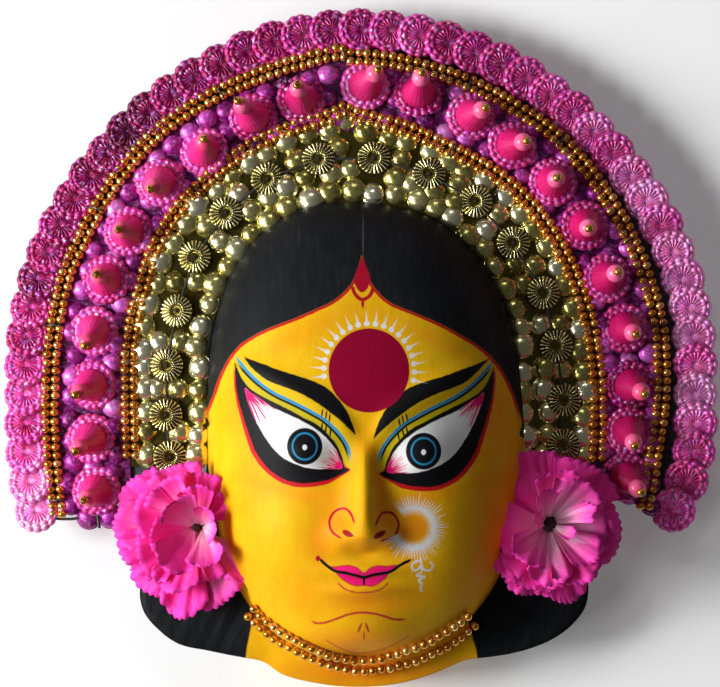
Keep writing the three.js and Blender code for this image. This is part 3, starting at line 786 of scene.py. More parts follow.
q = Nodes("raw_paper")
fibre = q.noise(120, 5, 0.6)
layers = q.voronoi(45, "F1", out=1)
pulp = q.ramp(fibre, [(0.3, (0.3, 0.22, 0.14)), (0.6, (0.5, 0.41, 0.29)), (0.8, (0.62, 0.55, 0.43))])
q.set(Base_Color=q.mix(0.25, pulp, layers, "OVERLAY"), Roughness=0.95)
q.bump(q.add(fibre, q.voronoi(45, "DISTANCE_TO_EDGE")), 0.6, 0.002)
PAPER = q.mat

mesh("head_painted", V, faces, [FACE, PAPER], slots, attrs, slot="face_paint", replaces=["mask_shell"])


# Foil, bead and cone materials
def foil(name, stops, rough, metal, rainbow=0.1, colour_var=0.4, glitter_glints=0.0, dents=0.5):
    """Crinkled foil; its tone follows the value that each body brings."""
    m = Nodes(name)
    crinkle = m.noise(420, 3, 0.6)
    level = m.add(m.mul(crinkle, 0.45), m.mul(m.noise(420 / 9, 2), 0.45))
    level = m.add(level, m.mul(m.sub(m.attr("tone"), 0.5), colour_var))
    shift = m.span(m.noise(105, 2, vector=m.stretch((1, 1, 3))), 0.25, 0.75,
                   0.5 - rainbow * 0.25, 0.5 + rainbow * 0.15)
    colour = m.node("HueSaturation", {"Hue": shift, "Color": m.ramp(level, stops)}).outputs[0]
    flake_r, flake_g, _ = m.node("SeparateXYZ", {0: m.voronoi(620, out=1)}).outputs
    # glitter flecks of the foil, painted in white and bright tints as painted glints
    if glitter_glints:
        glint_colours = [(0.1, (0.5, 0.1, 0.8)), (0.4, (0.98, 0.7, 0.92)), (0.62, (0.92, 0.05, 0.14)),
                  (0.85, (0.66, 0.36, 0.98))]
        colour = m.mix(m.mul(m.span(flake_r, 0.72, 0.86), glitter_glints), colour, m.ramp(flake_g, glint_colours))
    m.set(Base_Color=colour, Metallic=metal,
          Roughness=m.add(m.mul(crinkle, 0.2), m.span(flake_r, 0.0, 1.0, rough + 0.05, rough)))
    m.bump(m.add(crinkle, m.mul(flake_g, 0.5 if glitter_glints else 0.0)), dents, 0.0005)
    return m.mat


def wax(name, grain, near, far, bump, **inputs):
    """A waxy material; each body's tone mixes one pair of colours into the other."""
    m = Nodes(name)
    fine = m.noise(*grain)
    m.set(Base_Color=m.mix(m.attr("tone"), m.two(fine, *near), m.two(fine, *far)), **inputs)
    m.bump(m.noise(*bump[:2]), *bump[2:])
    return m.mat


def plain(name, grain, dark, light, rough, bump=None, **inputs):
    """Two tones in a fine grain; rough is a value, or the scale, detail and two ends of a noise."""
    m = Nodes(name)
    if isinstance(rough, tuple):
        rough = m.span(m.noise(*rough[:2]), 0.3, 0.7, *rough[2:])
    m.set(Base_Color=m.two(m.noise(*grain), dark, light), Roughness=rough, **inputs)
    if bump:
        m.bump(m.noise(*bump[:2]), *bump[2:])
    return m.mat


PINKS = [(0.15, (0.13, 0.002, 0.035)), (0.4, (0.5, 0.012, 0.16)), (0.62, (0.86, 0.09, 0.42)),
         (0.85, (0.98, 0.42, 0.78))]
PURPLES = [(0.2, (0.06, 0.001, 0.04)), (0.42, (0.34, 0.012, 0.24)), (0.62, (0.74, 0.13, 0.62)),
           (0.88, (0.96, 0.52, 0.95))]
GOLDS = [(0.15, (0.14, 0.11, 0.02)), (0.4, (0.58, 0.51, 0.15)), (0.6, (0.93, 0.86, 0.4)),
         (0.85, (1.0, 0.97, 0.72))]
PINK_FOIL = foil("pink_foil", PINKS, 0.3, 0.4, colour_var=0.7, glitter_glints=0.55)
PURPLE_FOIL = foil("purple_foil", PURPLES, 0.2, 0.45, glitter_glints=0.2)
GOLD_FOIL = foil("gold_foil", GOLDS, 0.1, 0.9, rainbow=0.04, colour_var=0.8, dents=0.2)

b = Nodes("gold_bead")
fleck = b.noise(900, 2)
AMBERS = [(0.15, (0.58, 0.23, 0.03)), (0.5, (0.82, 0.39, 0.07)), (0.85, (0.97, 0.68, 0.26))]
b.set(Base_Color=b.ramp(b.add(b.mul(b.attr("tone"), 0.6), b.mul(fleck, 0.3)), AMBERS),
      Metallic=0.85, Roughness=b.span(fleck, 0.3, 0.7, 0.18, 0.28))
b.bump(fleck, 0.15, 0.0003)
GOLD_BEAD = b.mat

# the dark pair is painted shade for the cones on the right, the bright pair painted light for those on the
# left
PINK_CONE = wax("pink_cone", (160, 3), ((0.56, 0.003, 0.12), (0.66, 0.006, 0.16)),
                ((0.93, 0.016, 0.24), (0.98, 0.05, 0.34)), (500, 2, 0.2, 0.0004), Roughness=0.38,
                Subsurface_Weight=0.75, Subsurface_Radius=(0.009, 0.002, 0.005), Transmission_Weight=0.12)
PALE_BALL = wax("pale_ball", (220, 2), ((0.84, 0.05, 0.18), (0.9, 0.08, 0.24)),
                ((0.88, 0.16, 0.36), (0.93, 0.24, 0.46)), (700, 2, 0.15, 0.0003), Roughness=0.3,
                Subsurface_Weight=0.3, Subsurface_Radius=(0.003, 0.0015, 0.002))
WIRE = plain("wire", (300, 2), (0.03, 0.03, 0.03), (0.13, 0.12, 0.11), (500, 2, 0.3, 0.5), Metallic=0.8)
THREAD = plain("thread", (2500, 2), (0.008, 0.008, 0.009), (0.03, 0.028, 0.03), 0.85, (2500, 2, 0.5, 0.0003))
BOARD = plain("black_board", (90, 4), (0.008, 0.008, 0.01), (0.032, 0.03, 0.032), (200, 3, 0.6, 0.85),
              (160, 4, 0.4, 0.0008))
EYE_DARK = plain("flower_eye", (400, 3), (0.01, 0.006, 0.004), (0.05, 0.03, 0.01), 0.9, (600, 2, 0.8, 0.001))
FLOOR = plain("floor", (4, 2), (0.86, 0.86, 0.86), (0.89, 0.89, 0.89), 0.9, Emission_Color=(1, 1, 1),
              Emission_Strength=0.12)

# The crown's rows
BOARD_TOP, SLOPE = 0.034, 0.018 / BAND


def board_top(r):
    """The board's height at a distance from the spine."""
    return BOARD_TOP - SLOPE * (r - HALF)


def polar(px, py):
    """Distance from the crown's spine and outward direction at a picture place."""
    x, y = (px - SPINE_X) * U, (SPINE_Y - py) * U
    if y < 0:
        return abs(x), (math.copysign(1, x), 0.0)
    r = math.hypot(x, y)
    return r, (x / r, y / r)


def shift(px, py, by):
    """A picture place moved outward by a distance."""
    _, (nx, ny) = polar(px, py)
    return px + nx * by, py - ny * by


def on_board(px, py, lift=0.0):
    r, _ = polar(px, py)
    return spot(px, py, board_top(r) + lift)


def board_normal(px, py, tilt=0.0):
    _, (nx, ny) = polar(px, py)
    a = math.atan(SLOPE) + tilt
    return (math.sin(a) * nx, math.sin(a) * ny, math.cos(a))


def even(points, count):
    """Places at even steps along a curve through points."""
    c = smooth_curve(points, 12)
    d = np.concatenate([[0], np.cumsum(np.hypot(*(c[1:] - c[:-1]).T))])
    t = np.linspace(0, d[-1], count)
    return np.stack([np.interp(t, d, c[:, 0]), np.interp(t, d, c[:, 1])], 1)


def arc_path(radius, leg, count):
    """Picture places along a horseshoe, from the left foot over the top to the right foot."""
    bend = math.pi * radius
    out = []
    for d in np.arange(count) * (bend + 2 * leg) / (count - 1):
        if leg <= d <= leg + bend:
            a = math.pi - (d - leg) / radius
            out.append((SPINE_X + radius * math.cos(a), SPINE_Y - radius * math.sin(a)))
        elif d < leg:
            out.append((SPINE_X - radius, SPINE_Y + leg - d))
        else:
            out.append((SPINE_X + radius, SPINE_Y + d - leg - bend))
    return out


# Rim rosettes: two rings of bosses round a ribbed middle, each one lying on the one before it.
ROSETTE_STEPS = (
    1.0, 0.97, 0.93, 0.88, 0.83, 0.78, 0.73, 0.69, 0.64, 0.58, 0.52, 0.46, 0.42, 0.32, 0.2, 0.08)
RIM_COUNT, RIM_RADIUS, RIM_LEG, RIM_SIZE, RIM_LIFT = 47, 332.0, 145, 0.0139, 0.0042
# painted light and shade along the rim: shares of its length, and the tone at each; darker at the upper left,
# brighter at the feet and on the right
RIM_LIGHT_AND_SHADE = (
    (0, 0.06, 0.15, 0.3, 0.5, 0.6, 0.7, 0.9, 1.0), (1.0, 0.75, 0.4, 0.12, 0.55, 0.55, 0.82, 0.92, 0.7))


def rosette(radius, bosses, inner_bosses, ribs, phase, depth, cols):
    """A pressed foil rosette: an outer and an inner ring of bosses round a ribbed middle."""
    def shape(ang, rr, zz):
        s = rr / radius
        boss = np.abs(np.cos(bosses / 2 * (ang + phase)))
        inner = np.abs(np.cos(inner_bosses / 2 * (ang + 1.3 * phase)))
        ribbed = sm((s - 0.1) / 0.1) * sm((0.6 - s) / 0.08)
        z = 0.9 * sm((s - 0.76) / 0.08) * sm((1.005 - s) / 0.14) * boss ** 0.8
        z = z + (0.35 + 0.5 * inner ** 0.8) * sm((s - 0.56) / 0.06) * sm((0.8 - s) / 0.07)
        z = z + ribbed * (0.36 + 0.3 * np.cos(ribs * (ang + phase))) + 0.5 * (1 - s * s)
        return rr * np.where(s > 0.93, 0.93 + 0.07 * boss ** 0.6, 1.0), zz + depth * z
    radii = [0.93 * radius] + [radius * k for k in ROSETTE_STEPS]
    return dish(radii, [-0.0006] + [0.0] * len(ROSETTE_STEPS), cols, shape)


rim = Pile()
for i, (x, y) in enumerate(arc_path(RIM_RADIUS, RIM_LEG, RIM_COUNT)):
    side = -1 if x < SPINE_X else 1
    turned = math.atan2(max(0, SPINE_Y - y), x - SPINE_X)
    # the right side leans in, toward the light, and each foot is drawn toward the jaw
    lean = 0.06 - 0.28 * float(sm((x - 400) / 220))
    grow = (3 * math.cos(4 * turned) if y < SPINE_Y else 3) + 3.2 * (lean - 0.06)
    foot = max(0.0, (y - 430) / 80) ** 2
    _, (nx, ny) = polar(x, y)
    x, y = x + nx * grow - side * foot * (22 if side > 0 else 11), y - ny * grow
    body = rosette(RIM_SIZE * rng.uniform(0.97, 1.02), 15, 12, 20, rng.uniform(0, 6), 0.0023, 104)
    n = (Vector(board_normal(x, y, lean + rng.normal(0, 0.04))) + 0.19 * Vector((ny, -nx, 0))).normalized()
    # the tone is painted light and shade along the rim, with a little random spread
    tone = np.interp(i / (RIM_COUNT - 1), *RIM_LIGHT_AND_SHADE) + rng.normal(0, 0.08)
    rim.seat(body, n, on_board(x, y, RIM_LIFT), rng.uniform(0, 6), tone=tone)
rim.build("rim_rosettes_foil", [PINK_FOIL], replaces=["rim_rosettes"], slot="pink_foil")

# Bead strings: flattened beads, two strings side by side.
BEAD_ACROSS, BEAD_ALONG = 0.0029, 0.0025
BEAD_PITCH, BEAD_LIFT = 8.35, 0.0052


def beads(pile, path, lift, jitter=0.00015, across=BEAD_ACROSS, surface=on_board):
    v, f = ball(1.0, 8, 12)
    for i, (x, y) in enumerate(path):
        at = np.array(surface(x, y, lift)) + rng.normal(0, jitter, 3)
        x2, y2 = path[min(i + 1, len(path) - 1)]
        x1, y1 = path[max(i - 1, 0)]
        size = np.array([across, across, BEAD_ALONG]) * rng.uniform(0.97, 1.02)
        pile.seat((v * size, f), (x2 - x1, y1 - y2, 0.001), at, tone=rng.uniform(0.1, 0.9))


def length_of(path):
    a = np.asarray(path)
    return float(np.hypot(*(a[1:] - a[:-1]).T).sum())


OUTER = [
    (58, 514), (52, 455), (50, 400), (54, 336), (66, 276), (83, 238), (104, 198), (134, 157), (172, 121),
    (220, 92), (271, 71), (314, 58), (340, 52), (348, 56), (378, 59), (407, 64), (461, 80), (514, 107),
    (557, 137), (595, 180), (626, 230), (645, 275), (659, 326), (662, 388), (656, 441), (645, 506)]
INNER = [
    (131, 455), (130, 420), (129.5, 360), (134.5, 321), (143, 287), (154, 252), (170, 222), (197, 190),
    (230, 161), (264, 140), (298, 126), (330, 117), (345, 109), (357, 115), (407, 129), (450, 149),
    (489, 170), (524, 198), (549, 229), (570, 267), (587, 312), (594, 348), (598, 388), (598, 428),
    (597, 458)]
STRING_GAP = 4.6
for name, line in (("outer", OUTER), ("inner", INNER)):
    for row, by in (("far", STRING_GAP), ("near", -STRING_GAP)):
        pile = Pile()
        dense = smooth_curve(line, 10)
        shifted = [shift(x, y, by) for x, y in dense]
        beads(pile, even(shifted, int(length_of(shifted) / BEAD_PITCH)), BEAD_LIFT)
        pile.build(f"{name}_beads_{row}_strung", [GOLD_BEAD], replaces=[f"{name}_beads_{row}"], slot="beads")


# Foil cups behind the cones and round the florets.
CUP_COLS = 24


def cup(radius, height):
    """A pressed foil cup: a thin flange and a round dome."""
    a = np.linspace(0, np.pi / 2, 8)
    dome = 0.92 * radius
    return dish([radius * 0.98, radius, 0.95 * radius] + list(dome * np.cos(a[:-1])) + [dome * 0.05],
                [-0.0006, 0.0, 0.0003] + list(0.0003 + height * np.sin(a[:-1])) + [0.0003 + height], CUP_COLS)


cups = Pile()
for rad_px, leg, lift in ((247, 108, 0.0022), (290, 140, 0.0022), (268.5, 126, 0.0012)):
    for x, y in arc_path(rad_px, leg, int((math.pi * rad_px + 2 * leg) / 21)):
        x, y = x + rng.normal(0, 1.4), y + rng.normal(0, 1.4)
        size = 0.0066 * rng.uniform(0.9, 1.08)
        normal = board_normal(x, y, rng.normal(0, 0.14))
        cups.seat(cup(size, size * 0.62), normal, on_board(x, y, lift), tone=rng.uniform(0.0, 1.0))
for x, y in ((89, 517), (110, 516)):
    cups.seat(cup(0.0078, 0.0048), board_normal(x, y), on_board(x, y, 0.0006), tone=0.45)
cups.build("pink_cups", [PURPLE_FOIL], slot="pink_foil")

# Cone ornaments: rosette, cone, ball and bead on one wire. TIPS is where each bead shows beside its rosette.
CONES = [
    (96.5, 491), (91, 438.5), (92, 385), (94.5, 331), (106, 279.5), (128, 231.5), (160, 182.5),
    (204, 151.5), (254, 118), (301.5, 99.5), (365.5, 86), (418, 93), (471.5, 116), (512.5, 145),
    (553, 182), (585, 225.5), (607, 278), (624.5, 328), (630, 385), (629, 431), (625, 477)]
TIPS = [
    (-12, 9), (-16, 13), (-17, 10), (-10, 15), (-9, -5), (-9, -2), (-9, 6), (0, -12), (-17, -18),
    (-4, -14), (13, -17), (4, -21), (14, -8), (14, -4), (4, -4), (4, 3), (11, -6), (11, 6), (15, 9),
    (6, 15), (17, 16)]
CONE_R, CONE_H, CONE_ROSETTE, CONE_LIFT = 0.0101, 0.0165, 0.0154, 0.0052
BALL_R, TIP_BEAD_R = 0.0054, 0.0027
REACH = CONE_H + 1.55 * BALL_R + 0.72 * TIP_BEAD_R


def cone_ribs(ang, rr, zz):
    return rr * (1 + 0.018 * np.cos(22 * ang)), zz


for i, ((x, y), (tx, ty)) in enumerate(zip(CONES, TIPS)):
    pile = Pile()
    base = np.array(on_board(x, y, CONE_LIFT))
    n = np.array(board_normal(x, y))
    body = rosette(CONE_ROSETTE, 19, 16, 30, rng.uniform(0, 6), 0.0021, 96)
    lean = n + (rng.normal(0, 0.05), rng.normal(0, 0.05), 0)
    pile.seat(body, lean, base, tone=np.clip(rng.normal(0.62, 0.08), 0, 1))
    start = base + n * 0.0012
    # the cone leans so that its bead shows where the photograph has it
    up = (Vector(spot(x + tx, y + ty, start[2] + 0.93 * REACH)) - Vector(start)).normalized()
    spin, upn = rng.uniform(0, 6), np.array(up)
    ts = np.linspace(0, 1, 14)
    body = dish(CONE_R * (1 - 0.66 * ts ** 1.35), 0.0004 + CONE_H * ts, 72, cone_ribs)
    # the cone's tone is painted light and shade: bright on the left, toward the lamp, dark on the right, with
    # some random spread
    pile.seat(body, up, start, spin, slot=1, tone=sm(0.85 - (x - 90) / 540 + rng.uniform(0, 0.3)))
    v, f = ball(BALL_R, 12, 20)
    pale = 0.1 + 0.4 * float(sm((x - 180) / 220)) * float(sm((690 - x) / 90))
    pale = np.clip(pale + rng.normal(0, 0.12), 0, 1)
    pile.add(v + start + upn * (CONE_H + 0.55 * BALL_R), f, slot=2, tone=pale)
    tip = start + upn * REACH
    v, f = ball(TIP_BEAD_R, 8, 14)
    pile.seat((v * (1, 1, 0.86), f), up, tip, spin, slot=3, tone=rng.uniform(0.0, 0.4))
    R = turn(up, spin)
    hook = [tip + upn * 0.002 + R @ (0.0016 * math.sin(a), 0, 0.0016 * (1 - math.cos(a)))
            for a in np.linspace(0, 5.2, 10)]
    pile.add(*wire(hook, 0.00042, 5), slot=4, tone=0.5)
    number = f"{i + 1:02d}"
    pile.build(f"cone_{number}_dressed", [PINK_FOIL, PINK_CONE, PALE_BALL, GOLD_BEAD, WIRE],
               replaces=[f"cone_ornament_{number}"], slot="cones")

# Gold florets: thin raised ribs on a disc; the ribs are painted brighter as a painted highlight, and the disc
# darker as painted shade.
FLORETS = [
    (170, 457), (166, 415), (167, 365), (177, 311), (195, 257), (226, 213), (267.5, 179), (318.5, 159),
    (374, 158), (429, 174), (475.5, 201), (513, 243), (543, 293), (556, 346), (564, 400), (563, 445)]
FLORET_STEPS = [1.0, 0.98, 0.92, 0.84, 0.74, 0.64, 0.54, 0.46, 0.4, 0.34, 0.2, 0.06]
FLORET_RIBS, FLORET_COLS, FLORET_SIZE, FLORET_LIFT = 24, 144, 0.0098, 0.0058

for i, (x, y) in enumerate(FLORETS):
    pile = Pile()
    shade = []

    def ribbed(ang, rr, zz, shade=shade):
        s = rr / FLORET_SIZE
        rib = (0.5 + 0.5 * np.cos(FLORET_RIBS * ang)) * sm((s - 0.33) / 0.08) * sm((1.02 - s) / 0.05)
        # tone: painted highlight on the ribs, painted shade on the disc between and in the middle
        shade.append(np.where(s > 0.36, 1.3 * rib - 0.35, 0.0))
        return rr * (1 + 0.04 * rib * (s > 0.9)), zz + 0.001 * (1 - s * s) + 0.0016 * rib
    v, f = dish([0.97 * FLORET_SIZE] + [FLORET_SIZE * k for k in FLORET_STEPS],
                [-0.0008] + [0.0] * len(FLORET_STEPS), FLORET_COLS, ribbed)
    at = np.array(on_board(x, y, FLORET_LIFT))
    n = board_normal(x, y, rng.normal(0, 0.08))
    pile.seat((v, f), n, at, rng.uniform(0, 1), tone=np.concatenate([*shade, [0.0, 0.0]]))
    v, f = ball(0.0009, 5, 8)
    pile.add(v + at + np.array(n) * 0.0014, f, slot=1, tone=0.5)
    pile.build(f"gold_floret_{i + 1:02d}_ribbed", [GOLD_FOIL, THREAD], replaces=[f"gold_floret_{i + 1:02d}"],
               slot="gold_foil")

# Gold cups packed in rows between the head and the inner garland, left out under the florets.
CUP_SIZE, CUP_ROWS, CUP_STEP, FLORET_CLEAR = 0.0085, 4, 21.0, 17.5
FIRST_ROW, LAST_ROW = 163, 13
gold = Pile()
edge_line = smooth_curve(INNER, 10)
for row in range(CUP_ROWS):
    line = []
    for x, y in edge_line:
        r, (_, ny) = polar(x, y)
        # the first row follows the hair, the last one the inner garland
        near, far = FIRST_ROW + 12 * ny * ny, r / U - LAST_ROW
        line.append(shift(x, y, near + (far - near) * row / (CUP_ROWS - 1) - r / U))
    for x, y in even(line, int(length_of(line) / CUP_STEP)):
        x, y = x + rng.normal(0, 1.6), y + rng.normal(0, 1.6)
        size = CUP_SIZE * rng.uniform(0.86, 1.06)
        tilt, low_lift, tone = rng.normal(0, 0.16), rng.uniform(0.0002, 0.0018), rng.uniform(0.32, 0.95)
        if min(math.hypot(x - fx, y - fy) for fx, fy in FLORETS) < FLORET_CLEAR:
            continue
        gold.seat(cup(size, size * 0.66), board_normal(x, y, tilt), on_board(x, y, low_lift), tone=tone)
gold.build("gold_cups", [GOLD_FOIL], slot="gold_foil")

# Black thread between neighbouring florets, from edge to edge.
FLORET_EDGE, THREAD_SIZE = 15.5, 0.00075
thread = Pile()
for (ax, ay), (bx, by) in zip(FLORETS[:-1], FLORETS[1:]):
    span = math.hypot(bx - ax, by - ay)
    clear = FLORET_EDGE / span
    pts = [on_board(ax + (bx - ax) * t, ay + (by - ay) * t, 0.0092 - 0.012 * abs(t - 0.5) ** 2)
           for t in np.linspace(clear, 1 - clear, 7)]
    thread.add(*wire(pts, THREAD_SIZE))
thread.build("black_thread", [THREAD], slot="board")

# Wire ties over the garlands, and the wire that closes the left foot.
TIE_REACH, TIE_WIRE, FOOT_WIRE = 9.5, 0.0006, 0.0009
ties = Pile()
TIES = [
    (54, 325), (98, 209), (220, 92), (344, 53), (470, 84), (561, 141), (629, 240), (659, 325), (57, 500),
    (646, 498), (345, 111), (197, 190), (453, 150), (590, 330), (128, 362)]
for px, py in TIES:
    _, (nx, ny) = polar(px, py)
    pts = []
    for t in np.linspace(-1, 1, 11):
        x, y = px + nx * TIE_REACH * t - ny * 1.5 * t, py - ny * TIE_REACH * t - nx * 1.5 * t
        pts.append(on_board(x, y, 0.0026 + 0.0062 * math.sqrt(max(0, 1 - t * t))))
    ties.add(*wire(pts, TIE_WIRE))
across_foot = [on_board(56 + 42 * t, 518.5 - 1.5 * t + math.sin(5 * t), 0.0034)
               for t in np.linspace(0, 1, 9)]
down_foot = [on_board(96.5 + 3 * t, 509 + 19 * t, 0.006 - 0.0012 * t) for t in np.linspace(0, 1, 7)]
for foot in (across_foot, down_foot):
    ties.add(*wire(foot, FOOT_WIRE))
ties.build("wire_ties", [WIRE], slot="board")

# Necklace: two strings that lie on the highest part of the jaw under each bead.
BEAD_REACH = 0.0026
NECKLACE = {
    "upper": [
        (254, 609), (262, 618), (273, 626), (286, 635), (301, 643), (325, 654), (342, 659), (359, 661),
        (374, 660), (387, 657), (407, 651), (425, 644), (440, 636), (452, 628), (468, 616)],
    "lower": [
        (248, 616), (258, 626), (271, 637), (286, 646), (301, 654), (318, 662), (337, 668), (358, 671.5),
        (378, 670), (397, 666), (416, 661), (432, 654), (447, 647), (461, 637), (475, 625)],
}
for row, line in NECKLACE.items():
    pile = Pile()
    dense = even(line, 200)
    top_z = []
    for x, y in dense:
        sx, sy, _ = spot(x, y, 0.045)
        angles = np.linspace(0, 6.28, 13)
        circle = head_height(sx + BEAD_REACH * np.cos(angles), sy + BEAD_REACH * np.sin(angles))
        top_z.append(float(circle.max()))
    top_z = np.convolve(np.pad(top_z, 6, mode="edge"), np.ones(13) / 13, "valid")

    def over(x, y, lift, dense=dense, top_z=top_z):
        k = int(np.argmin((dense[:, 0] - x) ** 2 + (dense[:, 1] - y) ** 2))
        return spot(x, y, float(top_z[k]) + lift)
    beads(pile, even(line, int(length_of(dense) / BEAD_PITCH)), 0.0027, 0.0002, 0.0028, over)
    pile.build(f"necklace_{row}_strung", [GOLD_BEAD], replaces=[f"necklace_{row}"], slot="beads")

# Cloth flowers
g = Nodes("petal_cloth")
rim_t = g.attr("rim")
FRESH = [(0.0, (0.55, 0.1, 0.16)), (0.3, (0.86, 0.04, 0.32)), (0.7, (0.96, 0.012, 0.36)),
         (1.0, (0.95, 0.03, 0.44))]
PALER = [(0.0, (0.5, 0.38, 0.4)), (0.3, (0.9, 0.62, 0.74)), (0.58, (0.9, 0.34, 0.62)),
         (0.85, (0.9, 0.1, 0.48)), (1.0, (0.86, 0.03, 0.42))]
mottle = g.mul(g.sub(g.noise(70, 3), 0.5), 0.9)
faded = g.add(g.attr("tone"), mottle, clamp=True)
g.set(Base_Color=g.mix(faded, g.ramp(rim_t, FRESH), g.ramp(rim_t, PALER)), Roughness=0.7, Sheen_Weight=0.08,
      Sheen_Roughness=0.4, Subsurface_Weight=0.25, Subsurface_Radius=(0.004, 0.001, 0.002))
g.bump(g.add(g.noise(1400, 2), g.mul(g.noise(260, 2), 1.5)), 0.3, 0.0005)
PETAL = g.mat
PETAL_ROWS, PETAL_COLS, CLOTH, HOLE_LIFT = 13, 49, 0.0004, 0.0055


def petal(length, half_angle, rise, fold, curl, seed):
    """One fan shaped petal from the origin along +X, with radial folds and a scalloped edge."""
    ph = np.random.default_rng(seed).uniform(0, 6.3, 5)
    s = np.linspace(-1, 1, PETAL_COLS)[None, :]
    t = np.linspace(0.03, 1, PETAL_ROWS)[:, None]
    teeth = np.abs(np.sin((12 + 3 * half_angle) * s + ph[0] + 0.8 * np.sin(5 * s)))
    scallop = 0.034 * teeth * sm((t - 0.9) / 0.1)
    reach = length * (t * (0.95 - 0.1 * s ** 2 + 0.05 * np.sin(2.6 * s + ph[3])) + scallop)
    a = half_angle * s
    waves = 0.55 * np.sin(4.4 * s + ph[1]) + 0.35 * np.sin(8.5 * s + ph[2]) + 0.12 * np.sin(15 * s + ph[4])
    z = length * (rise * t ** 1.2 + fold * t ** 1.3 * waves + curl * t ** 4)
    out = reach * np.sqrt(np.maximum(0.05, 1 - 0.5 * rise * rise * t))
    v = np.stack([out * np.cos(a), out * np.sin(a), z + 0 * a], -1).reshape(-1, 3)
    n = len(v)
    top = grid_faces(PETAL_ROWS, PETAL_COLS, closed=False)
    edge = ([*range(PETAL_COLS)] + [k * PETAL_COLS + PETAL_COLS - 1 for k in range(1, PETAL_ROWS)]
            + [(PETAL_ROWS - 1) * PETAL_COLS + k for k in range(PETAL_COLS - 2, -1, -1)]
            + [k * PETAL_COLS for k in range(PETAL_ROWS - 2, 0, -1)])
    sides = [(b, a2, a2 + n, b + n) for a2, b in zip(edge, edge[1:] + edge[:1])]
    faces = top + [tuple(q + n for q in reversed(face)) for face in top] + sides
    rim_v = np.broadcast_to(t, (PETAL_ROWS, PETAL_COLS)).reshape(-1)
    return np.concatenate([v, v - (0, 0, CLOTH)]), faces, np.concatenate([rim_v, rim_v])


def flower(side, centre, facing, petals, seed, hole):
    """petals: bearing, length, half angle, rise, fold, curl, tone, lift, and any shift aside."""
    r0 = np.random.default_rng(seed)
    pile = Pile()
    for bearing, length, half, rise, fold, curl, tone, lift, *aside in petals:
        v, f, rv = petal(length * 0.001, math.radians(half), rise, fold, curl, int(r0.integers(1e6)))
        roll = np.array(Matrix.Rotation(r0.normal(0, 0.1), 3, "X"))
        spin = np.array(Matrix.Rotation(math.radians(bearing), 3, "Z"))
        v = v @ roll.T @ spin.T + np.array([*(aside or (0, 0)), lift]) * 0.001
        pile.seat((v, f), facing, centre, rim=rv, tone=np.clip(tone + r0.normal(0, 0.08), 0, 1))
    v, f = ball(hole, 8, 12)
    pile.seat((v + (0, 0, HOLE_LIFT), f), facing, centre, slot=1, rim=0.0, tone=0.5)
    pile.build(f"flower_{side}_petals", [PETAL, EYE_DARK], replaces=[f"flower_{side}"], slot="cloth")


def whorl(count, first, length, half, rise, fold, curl, tone, lift, aside, seed):
    """A ring of like petals, each a little different."""
    r0 = np.random.default_rng(seed)
    return [(first + 360 * k / count + r0.normal(0, 9), length * r0.uniform(0.88, 1.08),
             half * r0.uniform(0.85, 1.15), rise * r0.uniform(0.7, 1.3), fold * r0.uniform(0.7, 1.3),
             curl * r0.uniform(-1, 1), tone + r0.normal(0, 0.1), lift + r0.normal(0, 0.4), aside, 0)
            for k in range(count)]


LEFT_PETALS = [
    (178, 49, 24, 0.08, 0.05, 0.05, 0.45, 0), (146, 51, 22, 0.1, 0.05, -0.05, 0.05, 1),
    (112, 42, 28, 0.08, 0.05, 0.1, 0.6, 0), (76, 36, 26, 0.16, 0.08, 0.1, 0.15, 1, -1, 0),
    (206, 49, 24, 0.1, 0.06, 0.05, 0.0, 1), (236, 52, 24, 0.08, 0.05, -0.05, 0.15, 0),
    (262, 54, 20, 0.1, 0.06, 0.05, 0.0, 1), (292, 51, 24, 0.08, 0.04, 0.05, 0.75, 0),
    (318, 45, 18, 0.12, 0.05, 0.05, 0.3, 1), (40, 26, 26, 0.2, 0.08, 0.1, 0.2, 1),
    (160, 37, 32, 0.26, 0.07, 0.1, 0.0, 4), (124, 35, 30, 0.3, 0.07, 0.15, 0.55, 5),
    (214, 40, 30, 0.24, 0.07, 0.1, 0.0, 4), (252, 41, 26, 0.24, 0.07, 0.1, 0.05, 4),
    (285, 36, 22, 0.26, 0.07, -0.1, 0.0, 4), (88, 27, 30, 0.42, 0.1, 0.2, 0.3, 5, 2, 0),
    (130, 24, 44, 0.7, 0.1, 0.25, 0.45, 6, 2, 0), (190, 26, 36, 0.5, 0.1, 0.15, 0.0, 7, -1, 0),
    (232, 30, 38, 0.5, 0.08, 0.15, 0.1, 7), (290, 25, 40, 0.55, 0.1, 0.2, 0.6, 6, 4, -1),
    (350, 15, 44, 0.8, 0.12, 0.2, 0.7, 6, 4, 0), (60, 16, 46, 0.85, 0.12, 0.2, 0.3, 6, 3, 1)]
RIGHT_OUTER = [
    (104, 48, 21, 0.06, 0.05, 0.05, 0.0, 0), (78, 45, 20, 0.08, 0.05, -0.05, 0.1, 1),
    (222, 46, 22, 0.06, 0.05, 0.05, 0.15, 1), (250, 47, 20, 0.08, 0.05, 0.05, 0.3, 0),
    (282, 49, 22, 0.06, 0.05, -0.05, 0.2, 1)]
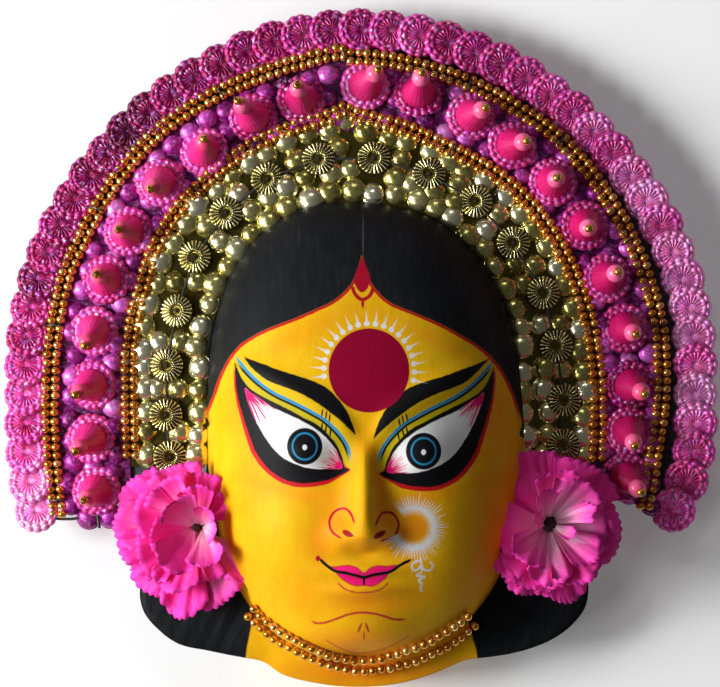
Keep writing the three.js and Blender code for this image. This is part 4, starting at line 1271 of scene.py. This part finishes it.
RIGHT_INNER = [
    (-8, 37, 34, 0.42, 0.05, -0.1, 0.85, 5), (62, 34, 36, 0.52, 0.06, 0.05, 0.75, 5),
    (118, 26, 26, 0.75, 0.08, 0.2, 0.6, 5), (168, 19, 30, 0.95, 0.12, 0.1, 0.5, 5),
    (222, 33, 32, 0.45, 0.1, 0.1, 0.6, 5), (268, 38, 30, 0.38, 0.1, -0.1, 0.65, 5),
    (314, 34, 28, 0.45, 0.08, 0.05, 0.7, 5), (-40, 17, 30, 1.0, 0.2, 0.25, 0.95, 6),
    (28, 27, 22, 0.8, 0.16, 0.3, 0.8, 6)]
RIGHT_PETALS = [
    *whorl(9, 10, 41, 34, 0.06, 0.05, 0.15, 0.08, 0, 4, 5), *RIGHT_OUTER,
    *whorl(7, 30, 37, 36, 0.16, 0.06, 0.2, 0.2, 3, 2, 6), *RIGHT_INNER]
flower("left", spot(197, 527, 0.049), (-0.14, 0.03, 1), LEFT_PETALS, 11, 0.003)
flower("right", spot(547, 524, 0.048), (0.2, 0.05, 1), RIGHT_PETALS, 12, 0.005)

# CAD nodes kept, with their materials
for node, mat in (("crown_board", BOARD), ("gold_cup_band", GOLD_FOIL), ("pink_cup_band", PURPLE_FOIL)):
    for material_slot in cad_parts[node].material_slots:
        material_slot.material = mat

# Floor and light
me = bpy.data.meshes.new("floor")
me.from_pydata([(-4, -4, 0), (4, -4, 0), (4, 4, 0), (-4, 4, 0)], [], [(0, 1, 2, 3)])
me.materials.append(FLOOR)
floor = link("floor", me)
floor.location = (0, 0, -0.0005)


def area(name, at, size, power, to=(0, -0.02, 0.03)):
    """A rectangular lamp aimed at the mask."""
    data = bpy.data.lights.new(name, "AREA")
    data.shape = "RECTANGLE"
    data.size, data.size_y = size
    data.energy = power
    ob = link(name, data)
    ob.location = at
    ob.rotation_euler = (Vector(to) - Vector(at)).to_track_quat("-Z", "Y").to_euler()


area("key", (-2.95, 0.05, 1.6), (1.3, 1.5), 178)
area("fill", (-2.0, -0.9, 2.0), (1.0, 1.0), 14)
area("top", (-0.2, 1.6, 1.8), (0.8, 0.25), 4, (0, 0, 0.03))
world = bpy.data.worlds.new("studio")
bpy.context.scene.world = world
world.use_nodes = True
bg = world.node_tree.nodes["Background"]
bg.inputs[0].default_value = (0.95, 0.97, 1.0, 1)
bg.inputs[1].default_value = 0.06
